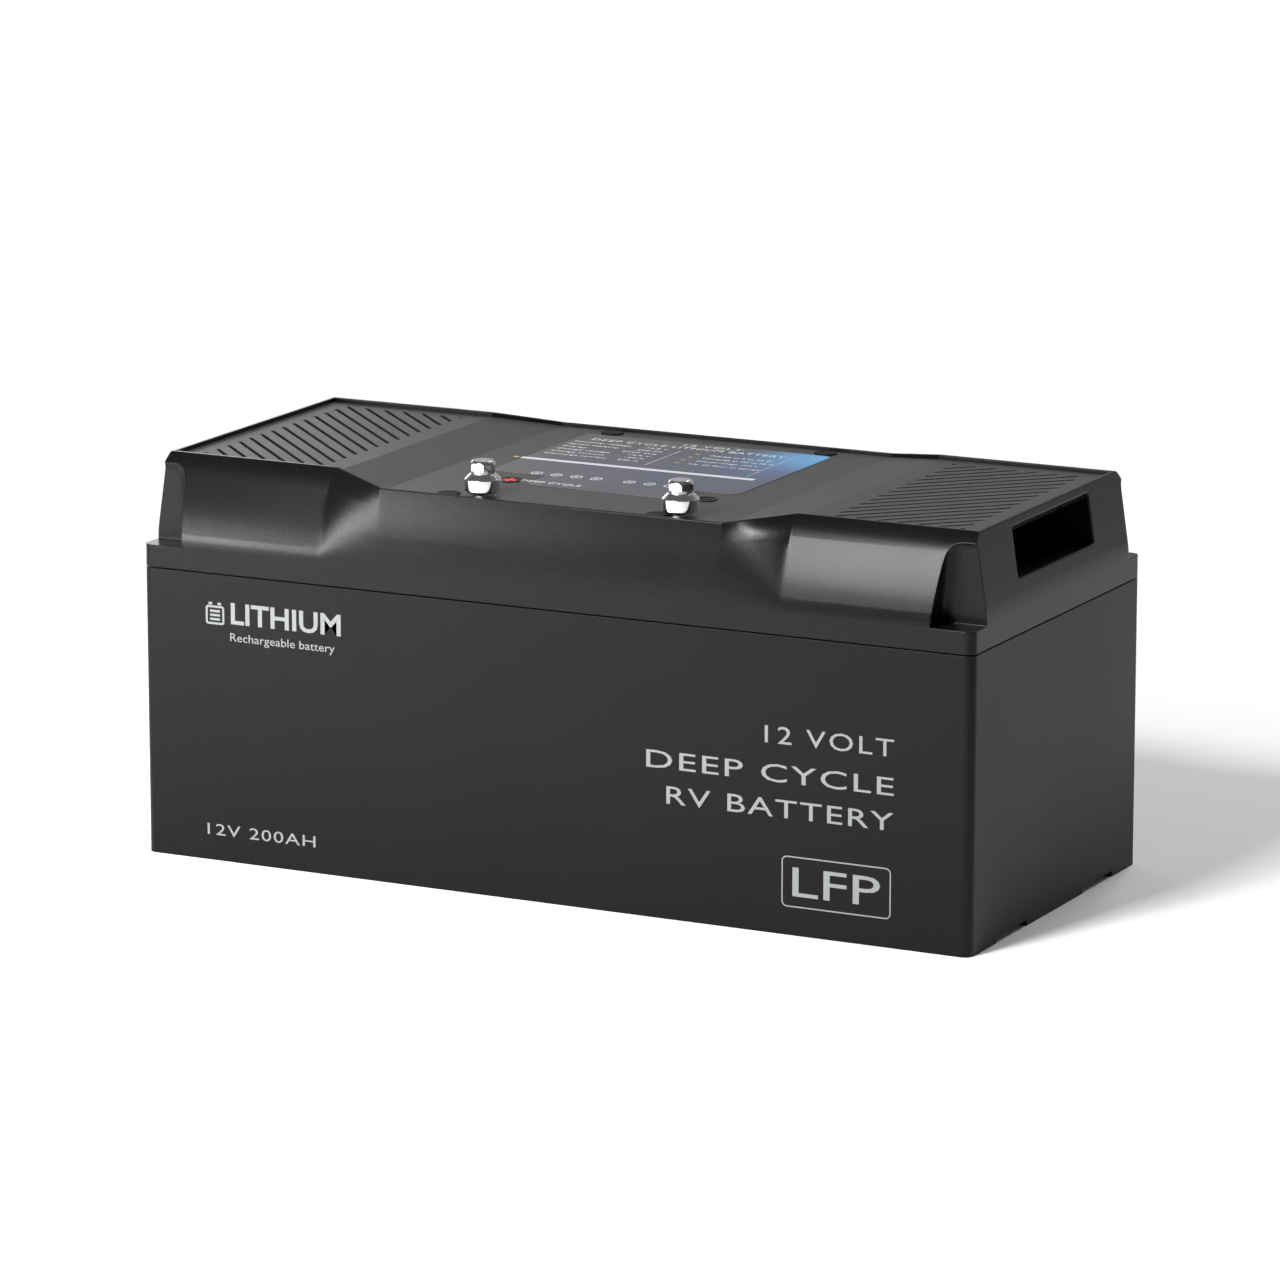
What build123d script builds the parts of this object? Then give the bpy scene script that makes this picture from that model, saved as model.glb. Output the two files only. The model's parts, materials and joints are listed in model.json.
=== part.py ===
"""Deep cycle battery: a 12 V lithium iron phosphate block for caravans, as a bench-strippable assembly.

Millimetres.  The origin is on the floor, under the middle of the case; +X runs along the long side,
-Y is the printed front and +Z is up.  Each function makes one piece, or one group of equal pieces.
"""
import os
from math import atan2, cos, hypot, radians, sin, sqrt, tan

from build123d import *

# ---------------------------------------------------------------- driving dimensions
LENGTH = 500.0            # overall, along X
WIDTH = 224.0             # overall, along Y
CORNER_RADIUS = 5.2       # vertical corners of the case
TUB_TOP = 161.5           # outer edge of the tub
LID_BOTTOM = 162.3        # outer edge of the lid, a shadow gap above the tub
LEDGE_Z = 174.5           # top of the lid's rectangular band, seen in the corner pockets
RAISED_RIM_Z = 223.5      # top of the lip around the two raised ends
CENTRE_RIM_Z = 218.2      # top of the lip along the lower middle
LIP_THICKNESS = 2.0
LIP_DEPTH_RAISED = 2.2    # how far the deck panel lies below the lip
LIP_DEPTH_CENTRE = 1.8
PANEL_THICKNESS = 3.5
SKIN_THICKNESS = 3.0      # lid wall under the deck panel
WALL = 5.0                # tub and lid side walls

RAISED_RIM_HALF_WIDTH = 91.0
CENTRE_RIM_HALF_WIDTH = 107.7
RIM_HALF_LENGTH = 243.4
RAMP_TOP_X = 139.0        # where the raised ends stop
RAMP_FOOT_X = 102.8       # where the lower middle starts
FLANK_FOOT_Z = 175.0      # the sculpted flanks start here, upright
RAISED_FLANK_TILT = 20.0  # mean slope of the flank from upright, between its foot arc and its shoulder
RAISED_FLANK_SWELL = 6.5  # the slope turns by this much each way from its mean
RAISED_FOOT_RADIUS = 30.0
RAISED_SHOULDER_Z = 213.0 # the flank starts to curl in to the lip here
CENTRE_FLANK_TILT = 8.0
CENTRE_FLANK_SWELL = 3.0
CENTRE_FOOT_RADIUS = 200.0
CENTRE_SHOULDER_Z = 208.0
RAMP_SECTIONS = 5         # cross-sections that shape each ramp's flanks
LIP_ROUNDING = 0.8
MOUTH_ROUNDING = 0.8
END_TILT = 8.5
END_FOOT_RADIUS = 60.0

POCKET_X = 225.0          # corner pockets of the lid: side wall, back wall and arch
POCKET_Y = 95.0
POCKET_LEAN = 0.09        # how far the side wall leans outwards for each millimetre of height
POCKET_ARCH_RADIUS = 9.5
POCKET_TOP_Z = 221.0
POCKET_INNER_RADIUS = 8.0

HAND_HOLD_HALF_WIDTH = 50.5
HAND_HOLD_FLOOR_Z = 191.2
HAND_HOLD_MOUTH_Z = 219.6
HAND_HOLD_BACK_X = 203.0
HAND_HOLD_WALL = 3.0

SLOT_COUNT = 20           # slots in each grille
SLOT_WIDTH = 2.4
GRILLE_NEAR_X = 153.4     # slot centre lines run inside this rectangle
GRILLE_FAR_X = 228.4
GRILLE_HALF_WIDTH = 77.9

FOOT_HEIGHT = 3.2         # lengthwise channels under the floor leave three feet
CHANNEL_NEAR_Y = 38.0
CHANNEL_FAR_Y = 78.0
FLOOR_Z = 8.0

TERMINAL_Y = -93.0
POSITIVE_X = -47.5
NEGATIVE_X = 71.3
SCREW_X = 66.4
SCREW_Y = 97.0
FRONT_RIGHT_SCREW_X = 59.3    # this screw stands clear of the negative terminal

CELL_COUNT = 8
CELL_THICKNESS = 50.0
CELL_WIDTH = 160.0
CELL_HEIGHT = 118.0
CELL_GAP = 1.5
CELL_POST_Y = 58.0
BASE_PAD_THICKNESS = 3.0
CABLE_DIAMETER = 8.5

# ---------------------------------------------------------------- derived levels
HALF_L = LENGTH / 2
HALF_W = WIDTH / 2
INNER_L = HALF_L - WALL
INNER_W = HALF_W - WALL
RAISED_DECK_Z = RAISED_RIM_Z - LIP_DEPTH_RAISED
CENTRE_DECK_Z = CENTRE_RIM_Z - LIP_DEPTH_CENTRE
RAISED_SEAT_Z = RAISED_DECK_Z - PANEL_THICKNESS
CENTRE_SEAT_Z = CENTRE_DECK_Z - PANEL_THICKNESS
RAISED_ROOF_Z = RAISED_SEAT_Z - SKIN_THICKNESS
CENTRE_ROOF_Z = CENTRE_SEAT_Z - SKIN_THICKNESS
CELL_PITCH = CELL_THICKNESS + CELL_GAP
CELL_Z = FLOOR_Z + BASE_PAD_THICKNESS
CELL_TOP_Z = CELL_Z + CELL_HEIGHT
CELL_XS = [(i - (CELL_COUNT - 1) / 2) * CELL_PITCH for i in range(CELL_COUNT)]
STACK_HALF = CELL_XS[-1] + CELL_THICKNESS / 2
FRONT_SCREWS = [(-SCREW_X, -SCREW_Y), (FRONT_RIGHT_SCREW_X, -SCREW_Y)]
SCREW_SPOTS = FRONT_SCREWS + [(-SCREW_X, SCREW_Y), (SCREW_X, SCREW_Y)]
TERMINAL_SPOTS = [(POSITIVE_X, TERMINAL_Y), (NEGATIVE_X, TERMINAL_Y)]


# ---------------------------------------------------------------- small helpers
def block(x0, x1, y0, y1, z0, z1):
    """An upright box between two corners."""
    middle = Pos((x0 + x1) / 2, (y0 + y1) / 2, (z0 + z1) / 2)
    return middle * Box(abs(x1 - x0), abs(y1 - y0), abs(z1 - z0))


def rod(x, y, z0, z1, diameter):
    """An upright round bar."""
    return Pos(x, y, (z0 + z1) / 2) * Cylinder(diameter / 2, z1 - z0)


def ring(x, y, z0, z1, outer, inner):
    """An upright tube or washer."""
    return rod(x, y, z0, z1, outer) - rod(x, y, z0 - 1, z1 + 1, inner)


def hexagon(x, y, z0, z1, across_flats):
    """An upright hexagonal bar."""
    outline = RegularPolygon(across_flats / 2, 6, major_radius=False)
    return Pos(x, y, z0) * extrude(outline, z1 - z0)


def rounded_block(half_x, half_y, z0, z1, radius):
    """A centred box with rounded upright corners."""
    outline = RectangleRounded(2 * half_x, 2 * half_y, radius)
    return Pos(0, 0, z0) * extrude(outline, z1 - z0)


def side_prism(points, half_y):
    """An outline in X and Z, drawn out along Y both ways."""
    outline = make_face(Polyline(*points, close=True))
    return extrude(Plane.XZ * outline, half_y, both=True)


def cross_prism(points, x0, x1):
    """An outline in Y and Z, drawn out along X."""
    outline = make_face(Polyline(*points, close=True))
    return extrude(Plane.YZ.offset(x0) * outline, x1 - x0)


def group(pieces):
    """Equal pieces kept as separate solids in one node."""
    return Compound(children=[solid for piece in pieces for solid in piece.solids()])


def mirrored(piece):
    """The same shape at both ends of the case."""
    return piece + mirror(piece, Plane.YZ)


# ---------------------------------------------------------------- lid outline
def deck_plan(inset, z0, z1):
    """The deck seen from above: narrow raised ends, wider middle."""
    end_x = RIM_HALF_LENGTH - inset
    narrow = RAISED_RIM_HALF_WIDTH - inset
    wide = CENTRE_RIM_HALF_WIDTH - inset
    right = [(end_x, narrow), (RAMP_TOP_X, narrow), (RAMP_FOOT_X, wide)]
    back = right + [(-x, y) for x, y in reversed(right)]
    front = [(x, -y) for x, y in reversed(back)]
    outline = make_face(Polyline(*back, *front, close=True))
    return Pos(0, 0, z0) * extrude(outline, z1 - z0)


def deck_band(raised_low, centre_low, raised_high, centre_high):
    """A sheet that follows the raised ends, the ramps and the lower middle."""
    def half(raised, centre):
        return [(RAMP_FOOT_X, centre), (RAMP_TOP_X, raised), (HALF_L + 10, raised)]
    low = half(raised_low, centre_low)
    high = half(raised_high, centre_high)
    left_low = [(-x, z) for x, z in reversed(low)]
    left_high = [(-x, z) for x, z in high]
    return side_prism(left_low + low + list(reversed(high)) + left_high, HALF_W + 10)


def flank(tilt, swell, foot_radius, shoulder_z, rim):
    """Back flank of the lid: an upright foot arc, a swollen slope and a shoulder arc up to the lip."""
    start, slope, end = radians(tilt - swell), radians(tilt), radians(tilt + swell)

    def on_foot(angle):
        return (HALF_W - foot_radius * (1 - cos(angle)), FLANK_FOOT_Z + foot_radius * sin(angle))

    def arc_middle(low, high, lean, half_turn):
        chord = hypot(low[0] - high[0], high[1] - low[1])
        bulge = chord / 2 * tan(half_turn / 2)
        return ((low[0] + high[0]) / 2 + bulge * cos(lean), (low[1] + high[1]) / 2 + bulge * sin(lean))

    foot = on_foot(start)
    shoulder = (foot[0] - (shoulder_z - foot[1]) * tan(slope), shoulder_z)
    lean = atan2(shoulder[0] - rim[0], rim[1] - shoulder_z)
    edges = [
        ThreePointArc((HALF_W, FLANK_FOOT_Z), on_foot(start / 2), foot),
        ThreePointArc(foot, arc_middle(foot, shoulder, slope, radians(swell)), shoulder),
        ThreePointArc(shoulder, arc_middle(shoulder, rim, lean, lean - end), rim),
    ]
    return edges, rim


def flank_between(share):
    """Flank at some share of the way up a ramp: 0 is the lower middle and 1 a raised end."""
    def blend(centre, raised):
        return centre + (raised - centre) * share
    rim = (blend(CENTRE_RIM_HALF_WIDTH, RAISED_RIM_HALF_WIDTH), blend(CENTRE_RIM_Z, RAISED_RIM_Z))
    return flank(
        blend(CENTRE_FLANK_TILT, RAISED_FLANK_TILT),
        blend(CENTRE_FLANK_SWELL, RAISED_FLANK_SWELL),
        blend(CENTRE_FOOT_RADIUS, RAISED_FOOT_RADIUS),
        blend(CENTRE_SHOULDER_Z, RAISED_SHOULDER_Z),
        rim,
    )


def lid_section(share, x):
    """Closed cross-section of the lid above its rectangular band."""
    edges, top = flank_between(share)
    base = (HALF_W, LEDGE_Z - 2)
    right = [Line(base, (HALF_W, FLANK_FOOT_Z))] + edges
    left = [mirror(edge, Plane.YZ) for edge in right]
    closing = [Line(top, (-top[0], top[1])), Line((-base[0], base[1]), base)]
    return Plane.YZ.offset(x) * make_face(Curve() + right + left + closing)


def end_outline():
    """The lid from the front: both ends lean in above a foot arc."""
    turn = radians(END_TILT)

    def on_foot(angle):
        return (HALF_L - END_FOOT_RADIUS * (1 - cos(angle)), FLANK_FOOT_Z + END_FOOT_RADIUS * sin(angle))

    foot = on_foot(turn)
    top = (foot[0] - (RAISED_RIM_Z - foot[1]) * tan(turn), RAISED_RIM_Z)
    side = Line((HALF_L, LEDGE_Z - 2), (HALF_L, FLANK_FOOT_Z))
    arc = ThreePointArc((HALF_L, FLANK_FOOT_Z), on_foot(turn / 2), foot)
    right = [side, arc, Line(foot, top)]
    left = [mirror(edge, Plane.YZ) for edge in right]
    closing = [Line(top, (-top[0], top[1])), Line((-HALF_L, LEDGE_Z - 2), (HALF_L, LEDGE_Z - 2))]
    outline = make_face(Curve() + right + left + closing)
    return extrude(Plane.XZ * outline, HALF_W + 10, both=True)


def rim_half_width(x):
    """Half the lid's width at its lip, at some distance along the lid."""
    share = (abs(x) - RAMP_FOOT_X) / (RAMP_TOP_X - RAMP_FOOT_X)
    share = min(max(share, 0), 1)
    return CENTRE_RIM_HALF_WIDTH + (RAISED_RIM_HALF_WIDTH - CENTRE_RIM_HALF_WIDTH) * share


def round_edges(solid, radius, wanted):
    """Rounds every edge whose start, middle and end all pass a test."""
    edges = [e for e in solid.edges() if all(wanted(e @ share) for share in (0, 0.5, 1))]
    return fillet(edges, radius)


def on_lip(point):
    """On the outer edge of the lip."""
    outside = abs(point.X) > RIM_HALF_LENGTH - 0.3 or abs(point.Y) > rim_half_width(point.X) - 0.1
    return point.Z > CENTRE_RIM_Z - 0.1 and outside


def lid_envelope():
    """Outer shape of the lid, without its pockets and hand-holds."""
    raised = extrude(lid_section(1, RAMP_TOP_X), HALF_L + 5 - RAMP_TOP_X)
    shares = [i / (RAMP_SECTIONS - 1) for i in range(RAMP_SECTIONS)]
    sections = [lid_section(share, RAMP_FOOT_X + share * (RAMP_TOP_X - RAMP_FOOT_X)) for share in shares]
    side = raised + loft(sections)
    centre = extrude(lid_section(0, -RAMP_FOOT_X), 2 * RAMP_FOOT_X)
    plan = rounded_block(HALF_L, HALF_W, LEDGE_Z - 2, RAISED_RIM_Z + 1, CORNER_RADIUS)
    sculpted = (mirrored(side) + centre) & end_outline() & plan
    band = rounded_block(HALF_L, HALF_W, LID_BOTTOM, LEDGE_Z, CORNER_RADIUS)
    return round_edges(sculpted + band, LIP_ROUNDING, on_lip)


def corner_pocket():
    """Arched pocket at the back right corner of the lid, open to the back and to the end."""
    radius = POCKET_ARCH_RADIUS
    spring_z = POCKET_TOP_Z - radius
    spring_x = POCKET_X + (spring_z - LEDGE_Z) * POCKET_LEAN
    middle_x = spring_x + radius
    far_x = HALF_L + 12
    turn = radius / sqrt(2)
    outline = Curve() + [
        Line((POCKET_X, LEDGE_Z), (spring_x, spring_z)),
        ThreePointArc((spring_x, spring_z), (middle_x - turn, spring_z + turn), (middle_x, POCKET_TOP_Z)),
        Line((middle_x, POCKET_TOP_Z), (far_x, POCKET_TOP_Z)),
        Line((far_x, POCKET_TOP_Z), (far_x, LEDGE_Z)),
        Line((far_x, LEDGE_Z), (POCKET_X, LEDGE_Z)),
    ]
    depth = HALF_W + 12 - POCKET_Y
    tool = extrude(Plane.XZ.offset(-POCKET_Y) * make_face(outline), -depth)
    on_inner_edge = ((POCKET_X + spring_x) / 2, POCKET_Y, (LEDGE_Z + spring_z) / 2)
    return fillet(tool.edges().sort_by_distance(on_inner_edge)[0], POCKET_INNER_RADIUS)


def hand_hold():
    """Pocket for the fingers in the right end face, with a mouth that flares up under the lip."""
    half = HAND_HOLD_HALF_WIDTH
    tool = block(HAND_HOLD_BACK_X, HALF_L + 10, -half, half, HAND_HOLD_FLOOR_Z, HAND_HOLD_MOUTH_Z)
    tool = fillet(tool.edges().filter_by(Axis.X), 2.5)
    throat_x = RIM_HALF_LENGTH - 2.9
    mouth_x = RIM_HALF_LENGTH + 1.0
    flare = [
        (HAND_HOLD_BACK_X, HAND_HOLD_FLOOR_Z),
        (HALF_L + 10, HAND_HOLD_FLOOR_Z),
        (HALF_L + 10, HAND_HOLD_MOUTH_Z),
        (mouth_x, HAND_HOLD_MOUTH_Z),
        (throat_x, RAISED_ROOF_Z),
        (HAND_HOLD_BACK_X, RAISED_ROOF_Z),
    ]
    return tool & side_prism(flare, half)


def lid_cavity():
    """The hollow inside the lid, kept clear of the hand-holds and of the corner pockets."""
    low_z = LEDGE_Z - 2
    skirt = rounded_block(INNER_L, INNER_W, LID_BOTTOM - 1, low_z, 2.0)
    raised_half = [(INNER_W - 1, low_z - 1), (INNER_W - 2, 184.0), (96.5, 208.0), (87.0, RAISED_ROOF_Z)]
    raised_outline = raised_half + [(-y, z) for y, z in reversed(raised_half)]
    raised = cross_prism(raised_outline, -POCKET_X + 3, POCKET_X - 3)
    centre_half = [(INNER_W - 1, low_z - 1), (INNER_W - 1, 182.0), (103.0, CENTRE_ROOF_Z)]
    centre_outline = centre_half + [(-y, z) for y, z in reversed(centre_half)]
    centre = cross_prism(centre_outline, 3 - RAMP_FOOT_X, RAMP_FOOT_X - 3)
    high_middle = block(-RAMP_TOP_X, RAMP_TOP_X, -HALF_W, HALF_W, CENTRE_ROOF_Z, RAISED_ROOF_Z + 5)
    end_bay = block(POCKET_X - 4, INNER_L - 1.5, 4 - POCKET_Y, POCKET_Y - 4, low_z - 1, 186.0)
    wall = HAND_HOLD_WALL
    half = HAND_HOLD_HALF_WIDTH + wall
    hold = block(HAND_HOLD_BACK_X - wall, HALF_L, -half, half, HAND_HOLD_FLOOR_Z - wall, RAISED_ROOF_Z + 5)
    return skirt + centre + (raised - high_middle - mirrored(hold)) + mirrored(end_bay - hold)


def screw_well(x, y):
    """Tower inside the lid that leads a lid screw down to the tub."""
    return rod(x, y, 166.0, CENTRE_SEAT_Z - 1, 11.5)


def screw_hole(x, y):
    """Head bore and clearance hole of one lid screw."""
    return rod(x, y, 172.0, CENTRE_DECK_Z, 8.6) + rod(x, y, 160.0, 175.0, 4.6)


# ---------------------------------------------------------------- housing
def on_mouth(point):
    """On the edge of a hand-hold's mouth."""
    at_the_end = abs(point.X) > RIM_HALF_LENGTH - 0.5
    inside = abs(point.Y) < HAND_HOLD_HALF_WIDTH + 0.5
    return at_the_end and inside and HAND_HOLD_FLOOR_Z - 0.5 < point.Z < HAND_HOLD_MOUTH_Z + 0.5


def lid_shell():
    """Sculpted lid: lip and recess for the deck, corner pockets, hand-holds, wells and terminal holes."""
    lid = lid_envelope()
    recess = deck_plan(LIP_THICKNESS, 200, 240)
    recess &= deck_band(RAISED_SEAT_Z, CENTRE_SEAT_Z, 240, 240)
    lid = lid - recess - lid_cavity()
    pocket = corner_pocket()
    pockets = mirrored(pocket + mirror(pocket, Plane.XZ))
    lid = lid - pockets - mirrored(hand_hold())
    lid = round_edges(lid, MOUTH_ROUNDING, on_mouth)
    tongue_room = rounded_block(HALF_L - 2.8, HALF_W - 2.8, LID_BOTTOM - 1, 165.8, 3.0)
    lid -= tongue_room
    for x, y in SCREW_SPOTS:
        lid += screw_well(x, y)
    for x, y in SCREW_SPOTS:
        lid -= screw_hole(x, y)
    for x, y in TERMINAL_SPOTS:
        lid -= rod(x, y, CENTRE_ROOF_Z - 5, CENTRE_DECK_Z, 12.0)
    return lid


def grille_slots(side):
    """Slots of one grille; they run at 45 degrees, handed about the middle of the battery."""
    run = GRILLE_FAR_X - GRILLE_NEAR_X
    rise = 2 * GRILLE_HALF_WIDTH
    slots = []
    for i in range(SLOT_COUNT):
        reach = (run + rise) * i / (SLOT_COUNT - 1)
        along_y = min(reach, rise)
        along_x = min(reach, run)
        start = Vector(GRILLE_NEAR_X + reach - along_y, GRILLE_HALF_WIDTH - along_y)
        end = Vector(GRILLE_NEAR_X + along_x, GRILLE_HALF_WIDTH - reach + along_x)
        middle = (start + end) / 2
        length = (end - start).length
        slot = SlotCenterToCenter(max(length, 0.8), SLOT_WIDTH)
        place = Pos(side * middle.X, middle.Y, RAISED_SEAT_Z - 1) * Rot(0, 0, side * 45)
        slots.append(place * extrude(slot, PANEL_THICKNESS + 2))
    return slots


def top_panel():
    """Deck panel let into the lid: raised grilles, ramps and the plain middle."""
    panel = deck_plan(LIP_THICKNESS + 0.2, 200, 240)
    panel &= deck_band(RAISED_SEAT_Z, CENTRE_SEAT_Z, RAISED_DECK_Z, CENTRE_DECK_Z)
    for side in (-1, 1):
        panel -= grille_slots(side)
    for x, y in SCREW_SPOTS:
        panel -= rod(x, y, CENTRE_SEAT_Z - 1, CENTRE_DECK_Z + 1, 13.2)
    for x, y in TERMINAL_SPOTS:
        panel -= rod(x, y, CENTRE_SEAT_Z - 1, CENTRE_DECK_Z + 1, 12.4)
    return panel


def case_tub():
    """Open tub with three lengthwise feet, locating ribs and bosses for the lid screws."""
    tub = rounded_block(HALF_L, HALF_W, 0, TUB_TOP, CORNER_RADIUS)
    tub += rounded_block(HALF_L - 3, HALF_W - 3, TUB_TOP - 1, 165.0, 3.0)
    tub -= rounded_block(INNER_L, INNER_W, FLOOR_Z, 170.0, 2.0)
    rib_reach = CELL_WIDTH / 2 + 1.6
    end_reach = STACK_HALF + 9.5
    for i in range(CELL_COUNT + 1):
        x = (i - CELL_COUNT / 2) * CELL_PITCH
        for side in (-1, 1):
            tub += block(x - 1.5, x + 1.5, side * rib_reach, side * (INNER_W + 1), FLOOR_Z - 1, 112.0)
    for side in (-1, 1):
        for y in (-60, -20, 20, 60):
            tub += block(side * end_reach, side * (INNER_L + 1), y - 1.5, y + 1.5, FLOOR_Z - 1, 112.0)
    for side in (-1, 1):
        near, far = side * CHANNEL_NEAR_Y, side * CHANNEL_FAR_Y
        tub -= block(-HALF_L - 1, HALF_L + 1, near, far, -1, FOOT_HEIGHT)
    for x, y in SCREW_SPOTS:
        side = 1 if y > 0 else -1
        tub += rod(x, y, 124.0, 165.8, 12.0)
        tub += block(x - 4, x + 4, y, side * (INNER_W + 1), 124.0, 160.0)
        tub -= rod(x, y, 154.0, 167.0, 7.0)
        tub -= rod(x, y, 145.0, 155.0, 4.6)
    return tub


def lid_gasket():
    """Flat frame that lies on the tub's tongue, under the lid."""
    frame = rounded_block(HALF_L - 3.2, HALF_W - 3.2, 165.0, 165.8, 2.8)
    frame -= rounded_block(INNER_L + 0.2, INNER_W + 0.2, 164.0, 167.0, 2.0)
    for x, y in SCREW_SPOTS:
        frame -= rod(x, y, 164.0, 167.0, 12.4)
    return frame


def lid_inserts():
    """Brass threads pressed into the tub's bosses."""
    return group([ring(x, y, 154.0, 165.8, 7.0, 4.1) for x, y in SCREW_SPOTS])


def lid_screws():
    """Pan head M4 screws at the bottom of the wells."""
    def screw(x, y):
        body = rod(x, y, 148.0, 172.5, 4.0) + rod(x, y, 172.0, 174.8, 8.0)
        return body - block(x - 0.6, x + 0.6, y - 2.4, y + 2.4, 173.4, 176.0)
    return group([screw(x, y) for x, y in SCREW_SPOTS])


def screw_plugs():
    """Round caps that close the wells on the deck."""
    def plug(x, y):
        cap = fillet(rod(x, y, CENTRE_SEAT_Z, CENTRE_DECK_Z + 0.8, 13.0).edges().group_by(Axis.Z)[-1], 0.4)
        return cap + rod(x, y, CENTRE_SEAT_Z - 6, CENTRE_SEAT_Z + 1, 8.4)
    return group([plug(x, y) for x, y in SCREW_SPOTS])


def spec_label():
    """Printed sheet on the middle of the deck, cut back around the polarity marks."""
    main = Pos(-2.0, 30.0) * RectangleRounded(152.0, 120.0, 5.0)
    tab = Pos(4.0, -38.0) * RectangleRounded(92.0, 36.0, 5.0)
    return Pos(0, 0, CENTRE_DECK_Z) * extrude(main + tab, 0.25)


MARK_Y = -48.4
MARK_HEIGHT = 0.4
POSITIVE_MARK_X = -54.8
NEGATIVE_MARK_X = 63.8


def polarity_rings():
    """Raised rings around the two polarity signs."""
    top = CENTRE_DECK_Z + MARK_HEIGHT
    marks = (POSITIVE_MARK_X, NEGATIVE_MARK_X)
    return group([ring(x, MARK_Y, CENTRE_DECK_Z, top, 13.4, 10.6) for x in marks])


def positive_sign():
    x = POSITIVE_MARK_X
    top = CENTRE_DECK_Z + MARK_HEIGHT
    bar = block(x - 4, x + 4, MARK_Y - 1.1, MARK_Y + 1.1, CENTRE_DECK_Z, top)
    return bar + block(x - 1.1, x + 1.1, MARK_Y - 4, MARK_Y + 4, CENTRE_DECK_Z, top)


def negative_sign():
    x = NEGATIVE_MARK_X
    return block(x - 4, x + 4, MARK_Y - 1.1, MARK_Y + 1.1, CENTRE_DECK_Z, CENTRE_DECK_Z + MARK_HEIGHT)


# ---------------------------------------------------------------- terminals
COLLAR_LOW_Z = CENTRE_DECK_Z + 2.6
COLLAR_TOP_Z = COLLAR_LOW_Z + 7.0
POST_TOP_Z = COLLAR_TOP_Z + 2.9
LOCK_WASHER_THICKNESS = 1.8
BOLT_SEAT_Z = POST_TOP_Z + LOCK_WASHER_THICKNESS
BOLT_LENGTH = 16.0
BOLT_HEAD_HEIGHT = 5.3
STUB_LOW_Z = CENTRE_ROOF_Z - 14.0


def terminal_post(x):
    """Turned terminal: foot, collar with a coned top, T-flange under the lid and a stub for the cable lug."""
    y = TERMINAL_Y
    post = rod(x, y, CENTRE_SEAT_Z, COLLAR_LOW_Z + 1, 12.0)
    collar = rod(x, y, COLLAR_LOW_Z, COLLAR_TOP_Z, 20.0)
    collar = chamfer(collar.edges().group_by(Axis.Z)[0], 0.8)
    cone = Pos(x, y, (COLLAR_TOP_Z + POST_TOP_Z) / 2) * Cone(10.0, 7.0, POST_TOP_Z - COLLAR_TOP_Z)
    neck = rod(x, y, CENTRE_ROOF_Z - 1, CENTRE_SEAT_Z + 1, 10.5)
    flange = block(x - 6, x + 6, y - 9, y + 9, CENTRE_ROOF_Z - 4, CENTRE_ROOF_Z)
    stub = rod(x, y, STUB_LOW_Z, CENTRE_ROOF_Z - 3, 11.5)
    bore = rod(x, y, BOLT_SEAT_Z - BOLT_LENGTH - 1.5, POST_TOP_Z + 1, 8.1)
    lug_hole = rod(x, y, STUB_LOW_Z - 1, STUB_LOW_Z + 8.0, 5.1)
    return post + collar + cone + neck + flange + stub - bore - lug_hole


def terminal_seals():
    """Rubber rings in the lid around the terminal necks."""
    return group([ring(x, y, CENTRE_ROOF_Z, CENTRE_SEAT_Z, 12.0, 10.5) for x, y in TERMINAL_SPOTS])


def lock_washer(x):
    """Split spring washer under the bolt head."""
    washer = ring(x, TERMINAL_Y, POST_TOP_Z, BOLT_SEAT_Z, 12.7, 8.2)
    return washer - Pos(x + 5, TERMINAL_Y, POST_TOP_Z + 1) * Rot(20, 0, 0) * Box(6, 0.7, 6)


def terminal_bolt(x):
    """M8 hexagon bolt with a chamfered head."""
    y = TERMINAL_Y
    top = BOLT_SEAT_Z + BOLT_HEAD_HEIGHT
    head = hexagon(x, y, BOLT_SEAT_Z, top, 13.0)
    crown = Pos(x, y, top - 2.5) * Cone(10.0, 5.7, 5.0)
    head &= crown + rod(x, y, BOLT_SEAT_Z - 1, top - 2.4, 16.0)
    shank = rod(x, y, BOLT_SEAT_Z - BOLT_LENGTH, BOLT_SEAT_Z + 1, 7.96)
    shank = chamfer(shank.edges().group_by(Axis.Z)[0], 0.9)
    return head + shank


# ---------------------------------------------------------------- cell pack
STUD_PAD_Z = CELL_TOP_Z + 2.5
BUSBAR_TOP_Z = STUD_PAD_Z + 2.5


def cell(index):
    """Prismatic cell: aluminium can, two stud pads with studs, and the safety vent between them."""
    x = CELL_XS[index]
    half_x, half_y = CELL_THICKNESS / 2, CELL_WIDTH / 2
    can = block(x - half_x, x + half_x, -half_y, half_y, CELL_Z, CELL_TOP_Z)
    can = fillet(can.edges().filter_by(Axis.Z), 3.0)
    can -= rod(x, 0, CELL_TOP_Z - 0.6, CELL_TOP_Z + 1, 16.0)
    for side in (-1, 1):
        can += rod(x, side * CELL_POST_Y, CELL_TOP_Z - 1, STUD_PAD_Z, 18.0)
        can += rod(x, side * CELL_POST_Y, CELL_TOP_Z, STUD_PAD_Z + 9.0, 6.0)
    return can


def cell_spacers():
    """Thin insulating sheets between neighbouring cells and at both ends of the row."""
    sheets = []
    for i in range(CELL_COUNT + 1):
        x = (i - CELL_COUNT / 2) * CELL_PITCH
        sheets.append(block(x - CELL_GAP / 2, x + CELL_GAP / 2, -78, 78, CELL_Z, CELL_TOP_Z - 2))
    return group(sheets)


def end_plate(side):
    """Ribbed aluminium plate that clamps one end of the row."""
    inner = STACK_HALF + CELL_GAP
    plate = block(side * inner, side * (inner + 7), -80, 80, CELL_Z, CELL_TOP_Z - 3)
    for y in (-54, -18, 18, 54):
        plate -= block(side * (inner + 3), side * (inner + 9), y - 13, y + 13, CELL_Z + 8, CELL_TOP_Z - 12)
    return plate


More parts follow.
